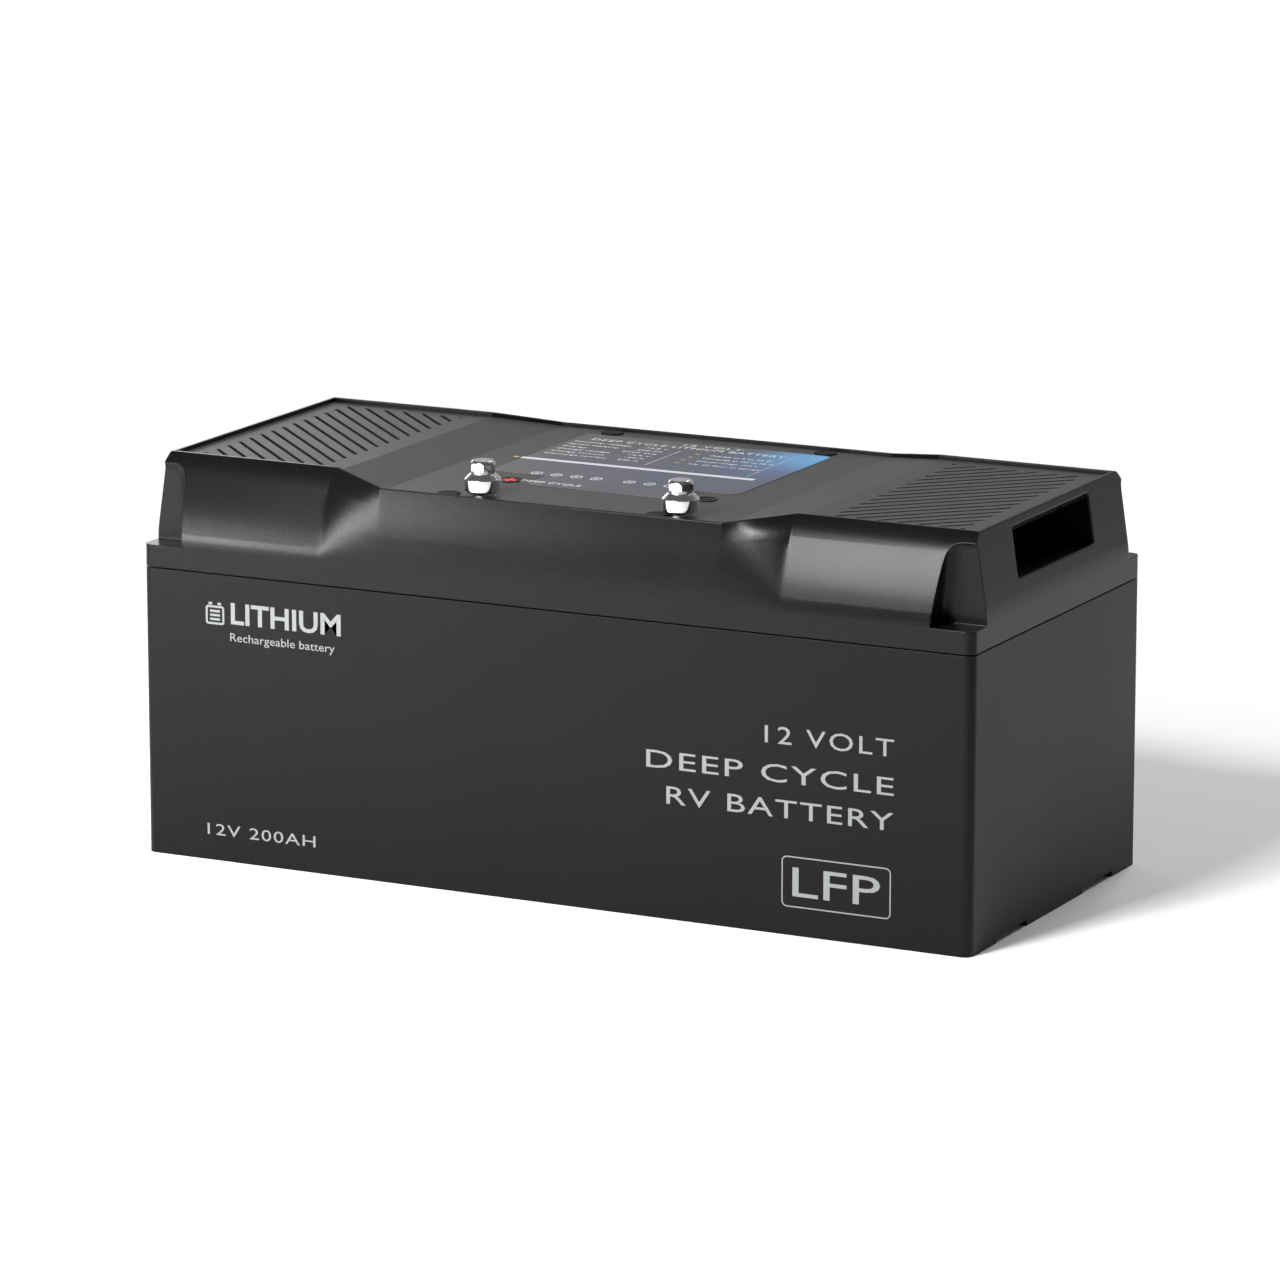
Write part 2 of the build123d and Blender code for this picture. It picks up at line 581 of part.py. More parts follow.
def pack_straps():
    """Steel bands around the row and its end plates."""
    outer = STACK_HALF + CELL_GAP + 7
    straps = []
    for z in (CELL_Z + 26, CELL_Z + 84):
        loop = block(-outer - 0.8, outer + 0.8, -80.8, 80.8, z, z + 16)
        straps.append(loop - block(-outer, outer, -80, 80, z - 1, z + 17))
    return group(straps)


def base_pad():
    """Soft pad between the tub's floor and the cells."""
    return block(-STACK_HALF - 8, STACK_HALF + 8, -80, 80, FLOOR_Z, CELL_Z)


def top_insulation():
    """Glass fibre board over the cells, open around the studs and the vents."""
    board = block(-STACK_HALF, STACK_HALF, -79, 79, CELL_TOP_Z, CELL_TOP_Z + 1.2)
    for x in CELL_XS:
        board -= rod(x, 0, CELL_TOP_Z - 1, CELL_TOP_Z + 3, 18.0)
        for side in (-1, 1):
            board -= rod(x, side * CELL_POST_Y, CELL_TOP_Z - 1, CELL_TOP_Z + 3, 19.0)
    return board


def busbar(first, last, side, extra_hole=None):
    """Copper bar over the studs of neighbouring cells."""
    y = side * CELL_POST_Y
    bar = block(CELL_XS[first] - 13, CELL_XS[last] + 13, y - 12, y + 12, STUD_PAD_Z, BUSBAR_TOP_Z)
    for x in CELL_XS[first:last + 1]:
        bar -= rod(x, y, STUD_PAD_Z - 1, BUSBAR_TOP_Z + 1, 6.4)
    if extra_hole is not None:
        bar -= rod(extra_hole, y, STUD_PAD_Z - 1, BUSBAR_TOP_Z + 1, 5.2)
    return bar


PACK_PLUS_X = (CELL_XS[0] + CELL_XS[1]) / 2
PACK_MINUS_X = (CELL_XS[-2] + CELL_XS[-1]) / 2


def series_busbars():
    """Links that put the four pairs of cells in series."""
    return group([busbar(0, 3, -1), busbar(4, 7, -1), busbar(2, 5, 1)])


def busbar_nuts():
    """M6 flange nuts on the studs."""
    def nut(x, y):
        z = BUSBAR_TOP_Z
        body = rod(x, y, z, z + 1.2, 14.0) + hexagon(x, y, z + 1, z + 6.0, 10.0)
        return body - rod(x, y, z - 1, z + 8, 6.1)
    return group([nut(x, side * CELL_POST_Y) for x in CELL_XS for side in (-1, 1)])


# ---------------------------------------------------------------- battery management
TRAY_Z = 146.0
BOARD_Z = TRAY_Z + 9.0
BOARD_TOP_Z = BOARD_Z + 1.6
BOARD_HALF_X = 92.0
BOARD_HALF_Y = 60.0
MOUNT_SPOTS = [(sx * 84.0, sy * 52.0) for sx in (-1, 1) for sy in (-1, 1)]
PAD_X = 80.0
PACK_PAD_Y = -40.0
LOAD_PAD_Y = 12.0


def bms_tray():
    """Plastic shelf on four legs that stands on the insulation board."""
    tray = block(-98, 98, -66, 66, TRAY_Z, TRAY_Z + 3)
    for sx in (-1, 1):
        for sy in (-1, 1):
            tray += rod(sx * 92, sy * 28, CELL_TOP_Z + 1.2, TRAY_Z + 1, 9.0)
    for x, y in MOUNT_SPOTS:
        tray += rod(x, y, TRAY_Z + 2, BOARD_Z, 8.0)
        tray -= rod(x, y, TRAY_Z + 1.5, BOARD_Z + 1, 3.1)
    return tray


def bms_board():
    """Circuit board with two thick power pads at its right end."""
    board = block(-BOARD_HALF_X, BOARD_HALF_X, -BOARD_HALF_Y, BOARD_HALF_Y, BOARD_Z, BOARD_TOP_Z)
    for x, y in MOUNT_SPOTS:
        board -= rod(x, y, BOARD_Z - 1, BOARD_TOP_Z + 1, 3.4)
    for y in (PACK_PAD_Y, LOAD_PAD_Y):
        board -= rod(PAD_X, y, BOARD_Z - 1, BOARD_TOP_Z + 1, 5.2)
    return board


def bms_screws():
    """Small screws that hold the board to the tray."""
    def screw(x, y):
        shank = rod(x, y, TRAY_Z + 2.5, BOARD_TOP_Z + 0.5, 3.0)
        return shank + rod(x, y, BOARD_TOP_Z, BOARD_TOP_Z + 2.2, 5.6)
    return group([screw(x, y) for x, y in MOUNT_SPOTS])


def bms_mosfets():
    """Two rows of power transistors under the heat sink."""
    packages = []
    for i in range(10):
        x = -70 + i * 13.0
        for y in (-24.0, -8.0):
            packages.append(block(x - 5, x + 5, y - 4.5, y + 4.5, BOARD_TOP_Z, BOARD_TOP_Z + 4.4))
    return group(packages)


def bms_heatsink():
    """Finned aluminium bar lying on the transistors."""
    z = BOARD_TOP_Z + 4.4
    sink = block(-78, 54, -32, 0, z, z + 4)
    for i in range(7):
        y = -30.5 + i * 4.8
        sink += block(-78, 54, y - 1, y + 1, z + 3, z + 13)
    return sink


def bms_connectors():
    """Sockets for the sense strip and for the temperature sensors."""
    sense = block(-60, -36, 44, 52, BOARD_TOP_Z, BOARD_TOP_Z + 7)
    probes = block(-24, -14, 44, 52, BOARD_TOP_Z, BOARD_TOP_Z + 7)
    return group([sense, probes])


def wireless_module():
    """Small radio board with a shield can, soldered flat on the main board."""
    module = block(20, 46, 28, 46, BOARD_TOP_Z, BOARD_TOP_Z + 0.8)
    return module + block(22, 38, 29.5, 44.5, BOARD_TOP_Z + 0.8, BOARD_TOP_Z + 3.0)


def sense_strip():
    """Flat printed strip along the cells that carries the cell voltages."""
    z = CELL_TOP_Z + 1.2
    strip = block(CELL_XS[0], CELL_XS[-1] + 15, 34, 40, z, z + 0.3)
    for x in CELL_XS:
        strip += block(x + 12, x + 15, 39, 46, z, z + 0.3)
    return strip


def temperature_sensors():
    """Sensor beads glued to the board above the second and the seventh cell."""
    z = CELL_TOP_Z + 1.2
    return group([block(x - 4, x + 4, -22, -16, z, z + 3) for x in (CELL_XS[1], CELL_XS[6])])


# ---------------------------------------------------------------- power cables
LUG_TONGUE = 2.5
LUG_BARREL = 11.0
LUG_REACH = 26.0
BARREL_START = 10.0


def cable_lug(x, y, z, heading, barrel_side):
    """Crimp lug: its hole is at x, y; its tongue starts at z; the barrel leans up (1) or down (-1)."""
    axis = LUG_BARREL / 2 if barrel_side > 0 else LUG_TONGUE - LUG_BARREL / 2
    lug = block(-7.5, BARREL_START + 3, -6, 6, 0, LUG_TONGUE) - rod(0, 0, -1, LUG_TONGUE + 1, 5.2)
    tube = Cylinder(LUG_BARREL / 2, LUG_REACH - BARREL_START)
    lug += Pos((LUG_REACH + BARREL_START) / 2, 0, axis) * Rot(0, 90, 0) * tube
    bore = Cylinder(CABLE_DIAMETER / 2 + 0.05, LUG_REACH - BARREL_START)
    lug -= Pos((LUG_REACH + BARREL_START) / 2 + 3, 0, axis) * Rot(0, 90, 0) * bore
    return Pos(x, y, z) * Rot(0, 0, heading) * lug


BUS_LUG_Z = BUSBAR_TOP_Z
POST_LUG_Z = STUB_LOW_Z - LUG_TONGUE
BUS_CABLE_Z = BUS_LUG_Z + LUG_BARREL / 2
BOARD_CABLE_Z = BOARD_TOP_Z + LUG_BARREL / 2
POST_CABLE_Z = STUB_LOW_Z - LUG_BARREL / 2
CABLE_START = BARREL_START + 3.2


def cable_lugs():
    """The six crimp lugs, as they lie at both ends of the three cables."""
    return group([
        cable_lug(PACK_PLUS_X, CELL_POST_Y, BUS_LUG_Z, -90, 1),
        cable_lug(PACK_MINUS_X, CELL_POST_Y, BUS_LUG_Z, -90, 1),
        cable_lug(PAD_X, PACK_PAD_Y, BOARD_TOP_Z, 0, 1),
        cable_lug(PAD_X, LOAD_PAD_Y, BOARD_TOP_Z, 0, 1),
        cable_lug(POSITIVE_X, TERMINAL_Y, POST_LUG_Z, 90, -1),
        cable_lug(NEGATIVE_X, TERMINAL_Y, POST_LUG_Z, 90, -1),
    ])


def lug_screws():
    """M5 screws through the lugs: down into busbars and board, up into the terminal stubs."""
    def down(x, y, z, depth):
        shank = rod(x, y, z - depth, z + LUG_TONGUE + 1, 5.0)
        return shank + rod(x, y, z + LUG_TONGUE, z + LUG_TONGUE + 3.5, 9.0)
    def up(x, y):
        z = POST_LUG_Z
        return rod(x, y, z - 1, STUB_LOW_Z + 7.0, 5.0) + rod(x, y, z - 3.5, z, 9.0)
    return group([
        down(PACK_PLUS_X, CELL_POST_Y, BUS_LUG_Z, 2.5),
        down(PACK_MINUS_X, CELL_POST_Y, BUS_LUG_Z, 2.5),
        down(PAD_X, PACK_PAD_Y, BOARD_TOP_Z, 4.0),
        down(PAD_X, LOAD_PAD_Y, BOARD_TOP_Z, 4.0),
        up(POSITIVE_X, TERMINAL_Y),
        up(NEGATIVE_X, TERMINAL_Y),
    ])


def cable(points):
    """Round cable along straight runs joined by tangent arcs as large as the runs allow."""
    corners = [Vector(*p) for p in points]
    radii = []
    for before, corner, after in zip(corners, corners[1:], corners[2:]):
        turn = radians((corner - before).get_angle(after - corner))
        shorter = min((corner - before).length, (after - corner).length)
        radii.append(0.45 * shorter / tan(turn / 2))
    path = FilletPolyline(*points, radius=radii)
    start = Plane(origin=path @ 0, z_dir=path % 0)
    print("cable radii", [round(r, 1) for r in radii])
    return sweep(start * Circle(CABLE_DIAMETER / 2), path=path)


def positive_cable():
    """From the first pair's busbar, over the pack, to the positive terminal."""
    return cable([
        (PACK_PLUS_X, CELL_POST_Y - CABLE_START, BUS_CABLE_Z),
        (PACK_PLUS_X, 8, BUS_CABLE_Z),
        (-141, -17, 168),
        (-103, -14, POST_CABLE_Z),
        (POSITIVE_X, -19, POST_CABLE_Z),
        (POSITIVE_X, TERMINAL_Y + CABLE_START, POST_CABLE_Z),
    ])


def pack_negative_cable():
    """From the last pair's busbar to the pack side of the management board."""
    return cable([
        (PACK_MINUS_X, CELL_POST_Y - CABLE_START, BUS_CABLE_Z),
        (PACK_MINUS_X, -6, BUS_CABLE_Z),
        (138, PACK_PAD_Y, BOARD_CABLE_Z),
        (PAD_X + CABLE_START, PACK_PAD_Y, BOARD_CABLE_Z),
    ])


def negative_cable():
    """From the load side of the management board to the negative terminal."""
    return cable([
        (PAD_X + CABLE_START, LOAD_PAD_Y, BOARD_CABLE_Z),
        (127, LOAD_PAD_Y, BOARD_CABLE_Z),
        (129, 4, POST_CABLE_Z),
        (NEGATIVE_X, -24, POST_CABLE_Z),
        (NEGATIVE_X, TERMINAL_Y + CABLE_START, POST_CABLE_Z),
    ])


# ---------------------------------------------------------------- the assembly
def assembly():
    """Every node of the battery by name."""
    nodes = {
        "case_tub": case_tub(),
        "lid_shell": lid_shell(),
        "top_panel": top_panel(),
        "lid_gasket": lid_gasket(),
        "lid_inserts": lid_inserts(),
        "lid_screws": lid_screws(),
        "screw_plugs": screw_plugs(),
        "spec_label": spec_label(),
        "polarity_rings": polarity_rings(),
        "positive_sign": positive_sign(),
        "negative_sign": negative_sign(),
        "terminal_seals": terminal_seals(),
        "cell_spacers": cell_spacers(),
        "left_end_plate": end_plate(-1),
        "right_end_plate": end_plate(1),
        "pack_straps": pack_straps(),
        "base_pad": base_pad(),
        "top_insulation": top_insulation(),
        "series_busbars": series_busbars(),
        "positive_busbar": busbar(0, 1, 1, PACK_PLUS_X),
        "negative_busbar": busbar(6, 7, 1, PACK_MINUS_X),
        "busbar_nuts": busbar_nuts(),
        "bms_tray": bms_tray(),
        "bms_board": bms_board(),
        "bms_screws": bms_screws(),
        "bms_mosfets": bms_mosfets(),
        "bms_heatsink": bms_heatsink(),
        "bms_connectors": bms_connectors(),
        "wireless_module": wireless_module(),
        "sense_strip": sense_strip(),
        "temperature_sensors": temperature_sensors(),
        "cable_lugs": cable_lugs(),
        "lug_screws": lug_screws(),
        "positive_cable": positive_cable(),
        "negative_cable": negative_cable(),
        "pack_negative_cable": pack_negative_cable(),
    }
    for index in range(CELL_COUNT):
        nodes[f"cell_{index + 1}"] = cell(index)
    for name, x in (("positive", POSITIVE_X), ("negative", NEGATIVE_X)):
        nodes[f"{name}_post"] = terminal_post(x)
        nodes[f"{name}_lock_washer"] = lock_washer(x)
        nodes[f"{name}_bolt"] = terminal_bolt(x)
    return nodes


os.makedirs("parts", exist_ok=True)
for name, shape in assembly().items():
    export_step(shape, f"parts/{name}.step")
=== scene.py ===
# %% [markdown]
# # A deep cycle battery for a caravan
#
# The battery is a long black box of moulded plastic: a smooth tub, a sculpted lid with a hand-hold at
# each end, a slotted deck, a printed label and two bright bolted terminals.  Its shapes and sizes come
# from a packed CAD model, called the frame here.  This script gives every part its finish, adds the
# small pieces that are easier to make in Blender, and sets up a plain studio round it.

# %% Load the frame
import json
import math

import bmesh
import bpy
from mathutils import Matrix, Vector


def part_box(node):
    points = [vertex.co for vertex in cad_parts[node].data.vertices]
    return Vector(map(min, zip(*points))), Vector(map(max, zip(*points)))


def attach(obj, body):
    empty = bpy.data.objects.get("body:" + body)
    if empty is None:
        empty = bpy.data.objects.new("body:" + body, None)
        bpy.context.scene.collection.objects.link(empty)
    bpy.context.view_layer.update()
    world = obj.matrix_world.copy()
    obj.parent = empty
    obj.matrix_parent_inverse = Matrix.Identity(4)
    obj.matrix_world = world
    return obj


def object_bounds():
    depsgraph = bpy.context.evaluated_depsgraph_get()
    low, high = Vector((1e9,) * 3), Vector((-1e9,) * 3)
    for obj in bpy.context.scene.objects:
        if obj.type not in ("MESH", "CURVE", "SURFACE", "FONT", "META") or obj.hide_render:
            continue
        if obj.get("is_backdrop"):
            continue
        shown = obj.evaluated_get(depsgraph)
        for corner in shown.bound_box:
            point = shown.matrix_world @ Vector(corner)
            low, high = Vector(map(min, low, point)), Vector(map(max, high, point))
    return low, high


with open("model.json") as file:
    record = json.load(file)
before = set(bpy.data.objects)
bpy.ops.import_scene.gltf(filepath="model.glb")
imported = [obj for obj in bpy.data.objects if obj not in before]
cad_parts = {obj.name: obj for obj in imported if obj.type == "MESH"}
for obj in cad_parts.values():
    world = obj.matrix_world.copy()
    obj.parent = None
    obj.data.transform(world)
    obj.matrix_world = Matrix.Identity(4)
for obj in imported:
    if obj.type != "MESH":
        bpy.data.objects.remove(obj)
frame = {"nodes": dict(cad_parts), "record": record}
CAD_LOW, CAD_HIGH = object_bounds()
nodes = frame["nodes"]
MM = 0.001

# %% [markdown]
# ## The camera
#
# A catalogue picture of a long box is taken with a long lens from well back, so that its edges stay
# almost parallel.  The camera could be placed by hand with a location and an angle.  Here it is placed
# as a photographer would say it: so far round the object, so high, so far away, looking at the middle.

# %% Stand the camera in front, a little to the right
CAMERA_ROUND = math.radians(26.844)  # from straight in front towards the right end
CAMERA_ABOVE = math.radians(12.617)
CAMERA_DISTANCE = 3.671
CAMERA_LENS = 187.7
FILM_WIDTH = 36
AIM_ABOVE_MIDDLE = 0.0050

middle = (CAD_LOW + CAD_HIGH) / 2
towards_camera = Vector((
    math.sin(CAMERA_ROUND) * math.cos(CAMERA_ABOVE),
    -math.cos(CAMERA_ROUND) * math.cos(CAMERA_ABOVE),
    math.sin(CAMERA_ABOVE),
))
camera = bpy.data.objects.new("camera", bpy.data.cameras.new("camera"))
bpy.context.scene.collection.objects.link(camera)
camera.data.lens = CAMERA_LENS
camera.data.sensor_width = FILM_WIDTH
camera.data.clip_end = 50
camera.rotation_mode = "QUATERNION"
camera.rotation_quaternion = (-towards_camera).to_track_quat("-Z", "Y")
picture_up = camera.rotation_quaternion @ Vector((0, 1, 0))
camera.location = middle + picture_up * AIM_ABOVE_MIDDLE + towards_camera * CAMERA_DISTANCE
bpy.context.scene.camera = camera
print("camera at", [round(x, 3) for x in camera.location])

# %% [markdown]
# ## A short way to write shader maths
#
# A finish is a graph of nodes.  It could be wired one node and one link at a time, which is long and
# hard to read.  Here one small class wraps the output of a node, so that sums and products are written
# as in ordinary Python and each of them adds its Math node.  A second class holds a node tree and makes
# every other kind of node: its type, then its settings, then the values or links of its sockets.


# %% Wrap a socket, so that arithmetic adds Math nodes
class Wire:
    """The output of a node.  Arithmetic on it adds Math nodes to the same tree."""

    def __init__(self, recipe, socket):
        self.recipe = recipe
        self.socket = socket

    def maths(self, operation, *values, clamp=False):
        settings = {"operation": operation, "use_clamp": clamp}
        return self.recipe.node("ShaderNodeMath", settings, dict(enumerate(values)))

    def __add__(self, other):
        return self.maths("ADD", self, other)

    def __radd__(self, other):
        return self.maths("ADD", other, self)

    def __sub__(self, other):
        return self.maths("SUBTRACT", self, other)

    def __rsub__(self, other):
        return self.maths("SUBTRACT", other, self)

    def __mul__(self, other):
        return self.maths("MULTIPLY", self, other)

    def __rmul__(self, other):
        return self.maths("MULTIPLY", other, self)

    def absolute(self):
        return self.maths("ABSOLUTE", self)

    def clamped(self):
        """The value kept between 0 and 1."""
        return self.maths("ADD", self, 0.0, clamp=True)

    def wave(self):
        """A wave between 0 and 1."""
        return self.maths("SINE", self) * 0.5 + 0.5


wire_sums = [name.strip("_") for name in vars(Wire) if callable(getattr(Wire, name))]
print("a wire can be used in:", ", ".join(name for name in wire_sums if name != "init"))


# %% Hold a node tree and make its nodes
def colour(red, green=None, blue=None):
    """A colour with its opacity; one number alone is a grey."""
    return (red, red if green is None else green, red if blue is None else blue, 1.0)


class Recipe:
    """A node tree, and one way to add any node to it."""

    def __init__(self, tree):
        self.tree = tree

    def connect(self, socket, value):
        if isinstance(value, Wire):
            self.tree.links.new(value.socket, socket)
        else:
            socket.default_value = value

    def node(self, kind, settings=None, inputs=None, output=0):
        made = self.tree.nodes.new(kind)
        for name, value in (settings or {}).items():
            setattr(made, name, value)
        for name, value in (inputs or {}).items():
            self.connect(made.inputs[name], value)
        return Wire(self, made.outputs[output])

    def mix(self, share, first, second):
        """The first colour where the share is 0 and the second where it is 1."""
        inputs = {0: share, 6: first, 7: second}
        return self.node("ShaderNodeMix", {"data_type": "RGBA"}, inputs, output=2)

    def noise(self, place, scale, detail=2.0):
        inputs = {"Vector": place, "Scale": scale, "Detail": detail}
        return self.node("ShaderNodeTexNoise", None, inputs)

    def step(self, value, low, high):
        """0 below one value, 1 above another and smooth between them."""
        settings = {"interpolation_type": "SMOOTHSTEP"}
        return self.node("ShaderNodeMapRange", settings, {0: value, 1: low, 2: high})

    def axes(self, place):
        """The three coordinates of a place, each as a wire."""
        return [
            self.node("ShaderNodeSeparateXYZ", None, {0: place}, output=axis) for axis in range(3)
        ]

    def shifted(self, place, centre=(0, 0, 0), stretch=(1, 1, 1)):
        """A place measured from a centre and stretched along the axes."""
        start = tuple(-c * s for c, s in zip(centre, stretch))
        inputs = {"Vector": place, "Location": start, "Scale": stretch}
        return self.node("ShaderNodeMapping", None, inputs)

    def far_from(self, place, point):
        """The distance from a point."""
        settings = {"operation": "DISTANCE"}
        return self.node("ShaderNodeVectorMath", settings, {0: place, 1: point}, output="Value")


print("a recipe has:", ", ".join(name for name in vars(Recipe) if not name.startswith("__")))

# %% [markdown]
# ## What every finish shares
#
# A finish is one Principled shader and a pattern laid out in the piece's own coordinates, so the pattern
# rides with the piece when it moves.  Two things come back in almost all of them.  Real edges are never
# sharp: the Bevel node rolls the normals over them, and where the rolled normal differs from the true
# one there is an edge, which gives a mask for wear.  And a fine relief goes through a Bump node.

# %% A material with its pattern on the object's own coordinates
BEVEL_SAMPLES = 6
EDGE_CONTRAST = 5.0


class Finish(Recipe):
    """A material with one Principled shader; underscores in socket names stand for spaces."""

    def __init__(self, name, **fixed):
        self.material = bpy.data.materials.new(name)
        self.material.use_nodes = True
        super().__init__(self.material.node_tree)
        self.shader = self.tree.nodes["Principled BSDF"]
        self.place = self.node("ShaderNodeTexCoord", output="Object")
        for socket, value in fixed.items():
            self.shader.inputs[socket.replace("_", " ")].default_value = value

    def show(self, **inputs):
        """Gives values or wires to the shader's sockets."""
        for socket, value in inputs.items():
            self.connect(self.shader.inputs[socket.replace("_", " ")], value)

    def soft_edges(self, radius):
        """Normals that roll over edges, and a mask that is bright along them."""
        rolled = self.node("ShaderNodeBevel", {"samples": BEVEL_SAMPLES}, {"Radius": radius})
        true = self.node("ShaderNodeNewGeometry", output="Normal")
        settings = {"operation": "DOT_PRODUCT"}
        facing = self.node("ShaderNodeVectorMath", settings, {0: rolled, 1: true}, "Value")
        return rolled, ((1.0 - facing) * EDGE_CONTRAST).clamped()

    def bumps(self, height, distance, normal=None):
        """Normals tilted by a relief that is so deep where its height is 1."""
        inputs = {"Height": height, "Distance": distance, "Strength": 1.0}
        if normal is not None:
            inputs["Normal"] = normal
        return self.node("ShaderNodeBump", None, inputs)


print("a finish adds:", ", ".join(name for name in vars(Finish) if not name.startswith("__")))

# %% [markdown]
# ## Moulded plastic
#
# The tub, lid and deck are injection moulded.  The steel mould is etched, which leaves a very fine
# texture that spreads the shine into a satin.  The colour is almost black, a little uneven, and rubbed
# lighter along the edges.  In crevices, which the Ambient Occlusion node finds, the colour is darkened:
# that is painted shade.
# The lid's ramps meet its flanks in broad creases.  A modelled bevel would be exact there, but the
# frame's meshes stay as they are, so a second Bevel node with a larger radius rolls the normals instead.

# %% Where the lid's ramps are
CREASE_ROUNDING = 5 * MM
RAMP_FROM_MIDDLE = 0.121  # the middle of each ramp, to the left and right
RAMP_REACH = (0.024, 0.028)  # half a ramp's length, and where its mask has faded out
FLANK_FOOT = (0.176, 0.181)
FLANK_TOP = (0.206, 0.211)


def on_ramps(f):
    """1 on the flanks of the lid's ramps, where the creases are broad, and 0 elsewhere."""
    across, _, height = f.axes(f.place)
    off_ramp = (across.absolute() - RAMP_FROM_MIDDLE).absolute()
    above_foot = f.step(height, *FLANK_FOOT)
    below_top = 1.0 - f.step(height, *FLANK_TOP)
    return (1.0 - f.step(off_ramp, *RAMP_REACH)) * above_foot * below_top


print("ramps from", RAMP_FROM_MIDDLE - RAMP_REACH[0], "to", RAMP_FROM_MIDDLE + RAMP_REACH[0])

# %% A finish for moulded plastics
finishes = {}
PLASTIC_CLOUDS = 17.0  # soft patches of colour to the metre
PLASTIC_RUBS = 160.0  # short marks along the edges to the metre
# How far the painted shade in crevices reaches, and how many samples find it.
PAINTED_SHADE_REACH = 0.004
PAINTED_SHADE_SAMPLES = 4


def tinted(tint, times, more=0.0):
    """A colour made lighter or darker."""
    return colour(*(c * times + more for c in tint))


def moulded_plastic(name, tint, sheen, grain=1500.0, depth=0.00002, edge=0.0005, worn=2.2,
                    creases=False, **fixed):
    """Satin plastic: etched grain, uneven colour, slightly polished edges and painted shade in crevices.
    """
    f = Finish(name, **fixed)
    fine = f.noise(f.place, grain, 3.0)
    cloud = f.noise(f.place, PLASTIC_CLOUDS, 4.0)
    rub = f.noise(f.shifted(f.place, stretch=(1, 1, 2.5)), PLASTIC_RUBS, 3.0)
    rolled, along_edge = f.soft_edges(edge)
    if creases:
        broad = f.node("ShaderNodeBevel", {"samples": BEVEL_SAMPLES}, {"Radius": CREASE_ROUNDING})
        inputs = {0: on_ramps(f), 4: rolled, 5: broad}
        rolled = f.node("ShaderNodeMix", {"data_type": "VECTOR"}, inputs, output=1)
    shade = f.mix(cloud, tinted(tint, 0.86), tinted(tint, 1.14))
    shade = f.mix(fine * 0.35, shade, tinted(tint, 1.5))
    # Painted shade: the colour is darkened towards a third of the tint where the Ambient Occlusion node
    # finds crevices.
    reach = {"Distance": PAINTED_SHADE_REACH}
    open_to_light = f.node("ShaderNodeAmbientOcclusion", {"samples": PAINTED_SHADE_SAMPLES}, reach, output="AO")
    shade = f.mix(1.0 - f.step(open_to_light, 0.15, 0.75), shade, tinted(tint, 0.35))
    edge_wear = (along_edge * f.step(rub, 0.42, 0.62) * 0.6).clamped()
    f.show(
        Base_Color=f.mix(edge_wear, shade, tinted(tint, worn, 0.006)),
        Roughness=(sheen + (cloud - 0.5) * 0.07 + (fine - 0.5) * 0.06 - edge_wear * 0.10).clamped(),
        Normal=f.bumps(fine, depth, rolled),
    )
    finishes[name] = f.material


# The dark crevices are painted shade.
print("moulded plastic has a grain, clouds, wear along edges and dark crevices")

# %% [markdown]
# ## The plastics of this battery
#
# Each plastic is the same finish with its own tint and shine.  The tub and lid are nearly black; the
# deck is greyer and duller; the marks, plugs and inner trays are plastics too.  A lower specular level
# makes the reflection weaker than that of clear plastic.  Roughness alone would only spread it.

# %% Mix the plastics
moulded_plastic("case_plastic", (0.0035, 0.0035, 0.0036), 0.37, Specular_IOR_Level=0.14)
moulded_plastic("lid_plastic", (0.0035, 0.0035, 0.0036), 0.27, edge=0.0009, creases=True,
                Specular_IOR_Level=0.17)
moulded_plastic("deck_plastic", (0.016, 0.016, 0.0164), 0.46, depth=0.00003, Specular_IOR_Level=0.4)
moulded_plastic("plug_plastic", (0.004, 0.004, 0.004), 0.60, Specular_IOR_Level=0.08)
moulded_plastic("tray_plastic", (0.05, 0.05, 0.055), 0.50)
moulded_plastic("chip_plastic", (0.014, 0.014, 0.015), 0.45, grain=2600.0, edge=0.0002)
moulded_plastic("connector_plastic", (0.72, 0.69, 0.60), 0.40, edge=0.0003, worn=1.1)
moulded_plastic("mark_black", (0.004, 0.004, 0.004), 0.5, edge=0.0001, Specular_IOR_Level=0.1)
moulded_plastic("mark_red", (0.50, 0.020, 0.016), 0.35, edge=0.0001, worn=1.3)
moulded_plastic("bead_epoxy", (0.03, 0.03, 0.04), 0.18, grain=500.0)
print("moulded finishes:", len(finishes))

# %% [markdown]
# ## Rubber, foam and sheet
#
# Rubber and silicone are matt, with a bloom of pale dust and fine moulding lines.  Foam is full of
# small cells, so its bump comes from a Voronoi pattern, which looks like packed bubbles.  The sheets
# between the cells are plain card-like plastic with long fibres pressed into them.


# %% Finishes for rubber, foam and sheet
def rubber(name, tint, sheen, bloom):
    """Matt rubber with pale dust on it, thicker along the edges."""
    f = Finish(name)
    dust = f.noise(f.place, 70.0, 5.0)
    fine = f.noise(f.place, 1800.0, 2.0)
    rolled, along_edge = f.soft_edges(0.0004)
    dusty = (f.step(dust, 0.45, 0.75) * 0.5 + along_edge * 0.3).clamped()
    f.show(
        Base_Color=f.mix(dusty, colour(*tint), tinted(tint, 0.9, bloom)),
        Roughness=(sheen + (fine - 0.5) * 0.1 + dusty * 0.1).clamped(),
        Normal=f.bumps(fine, 0.00002, rolled),
    )
    finishes[name] = f.material


def foam(name, tint):
    """Foam full of small round hollows, with paler rims between them."""
    f = Finish(name)
    cells = f.node("ShaderNodeTexVoronoi", None, {"Vector": f.place, "Scale": 900.0}, "Distance")
    cloud = f.noise(f.place, 60.0)
    f.show(
        Base_Color=f.mix((cells * 0.8 + cloud * 0.3).clamped(), colour(*tint), tinted(tint, 2.0)),
        Roughness=(0.82 + cloud * 0.15).clamped(),
        Normal=f.bumps(cells, 0.0004),
    )
    finishes[name] = f.material


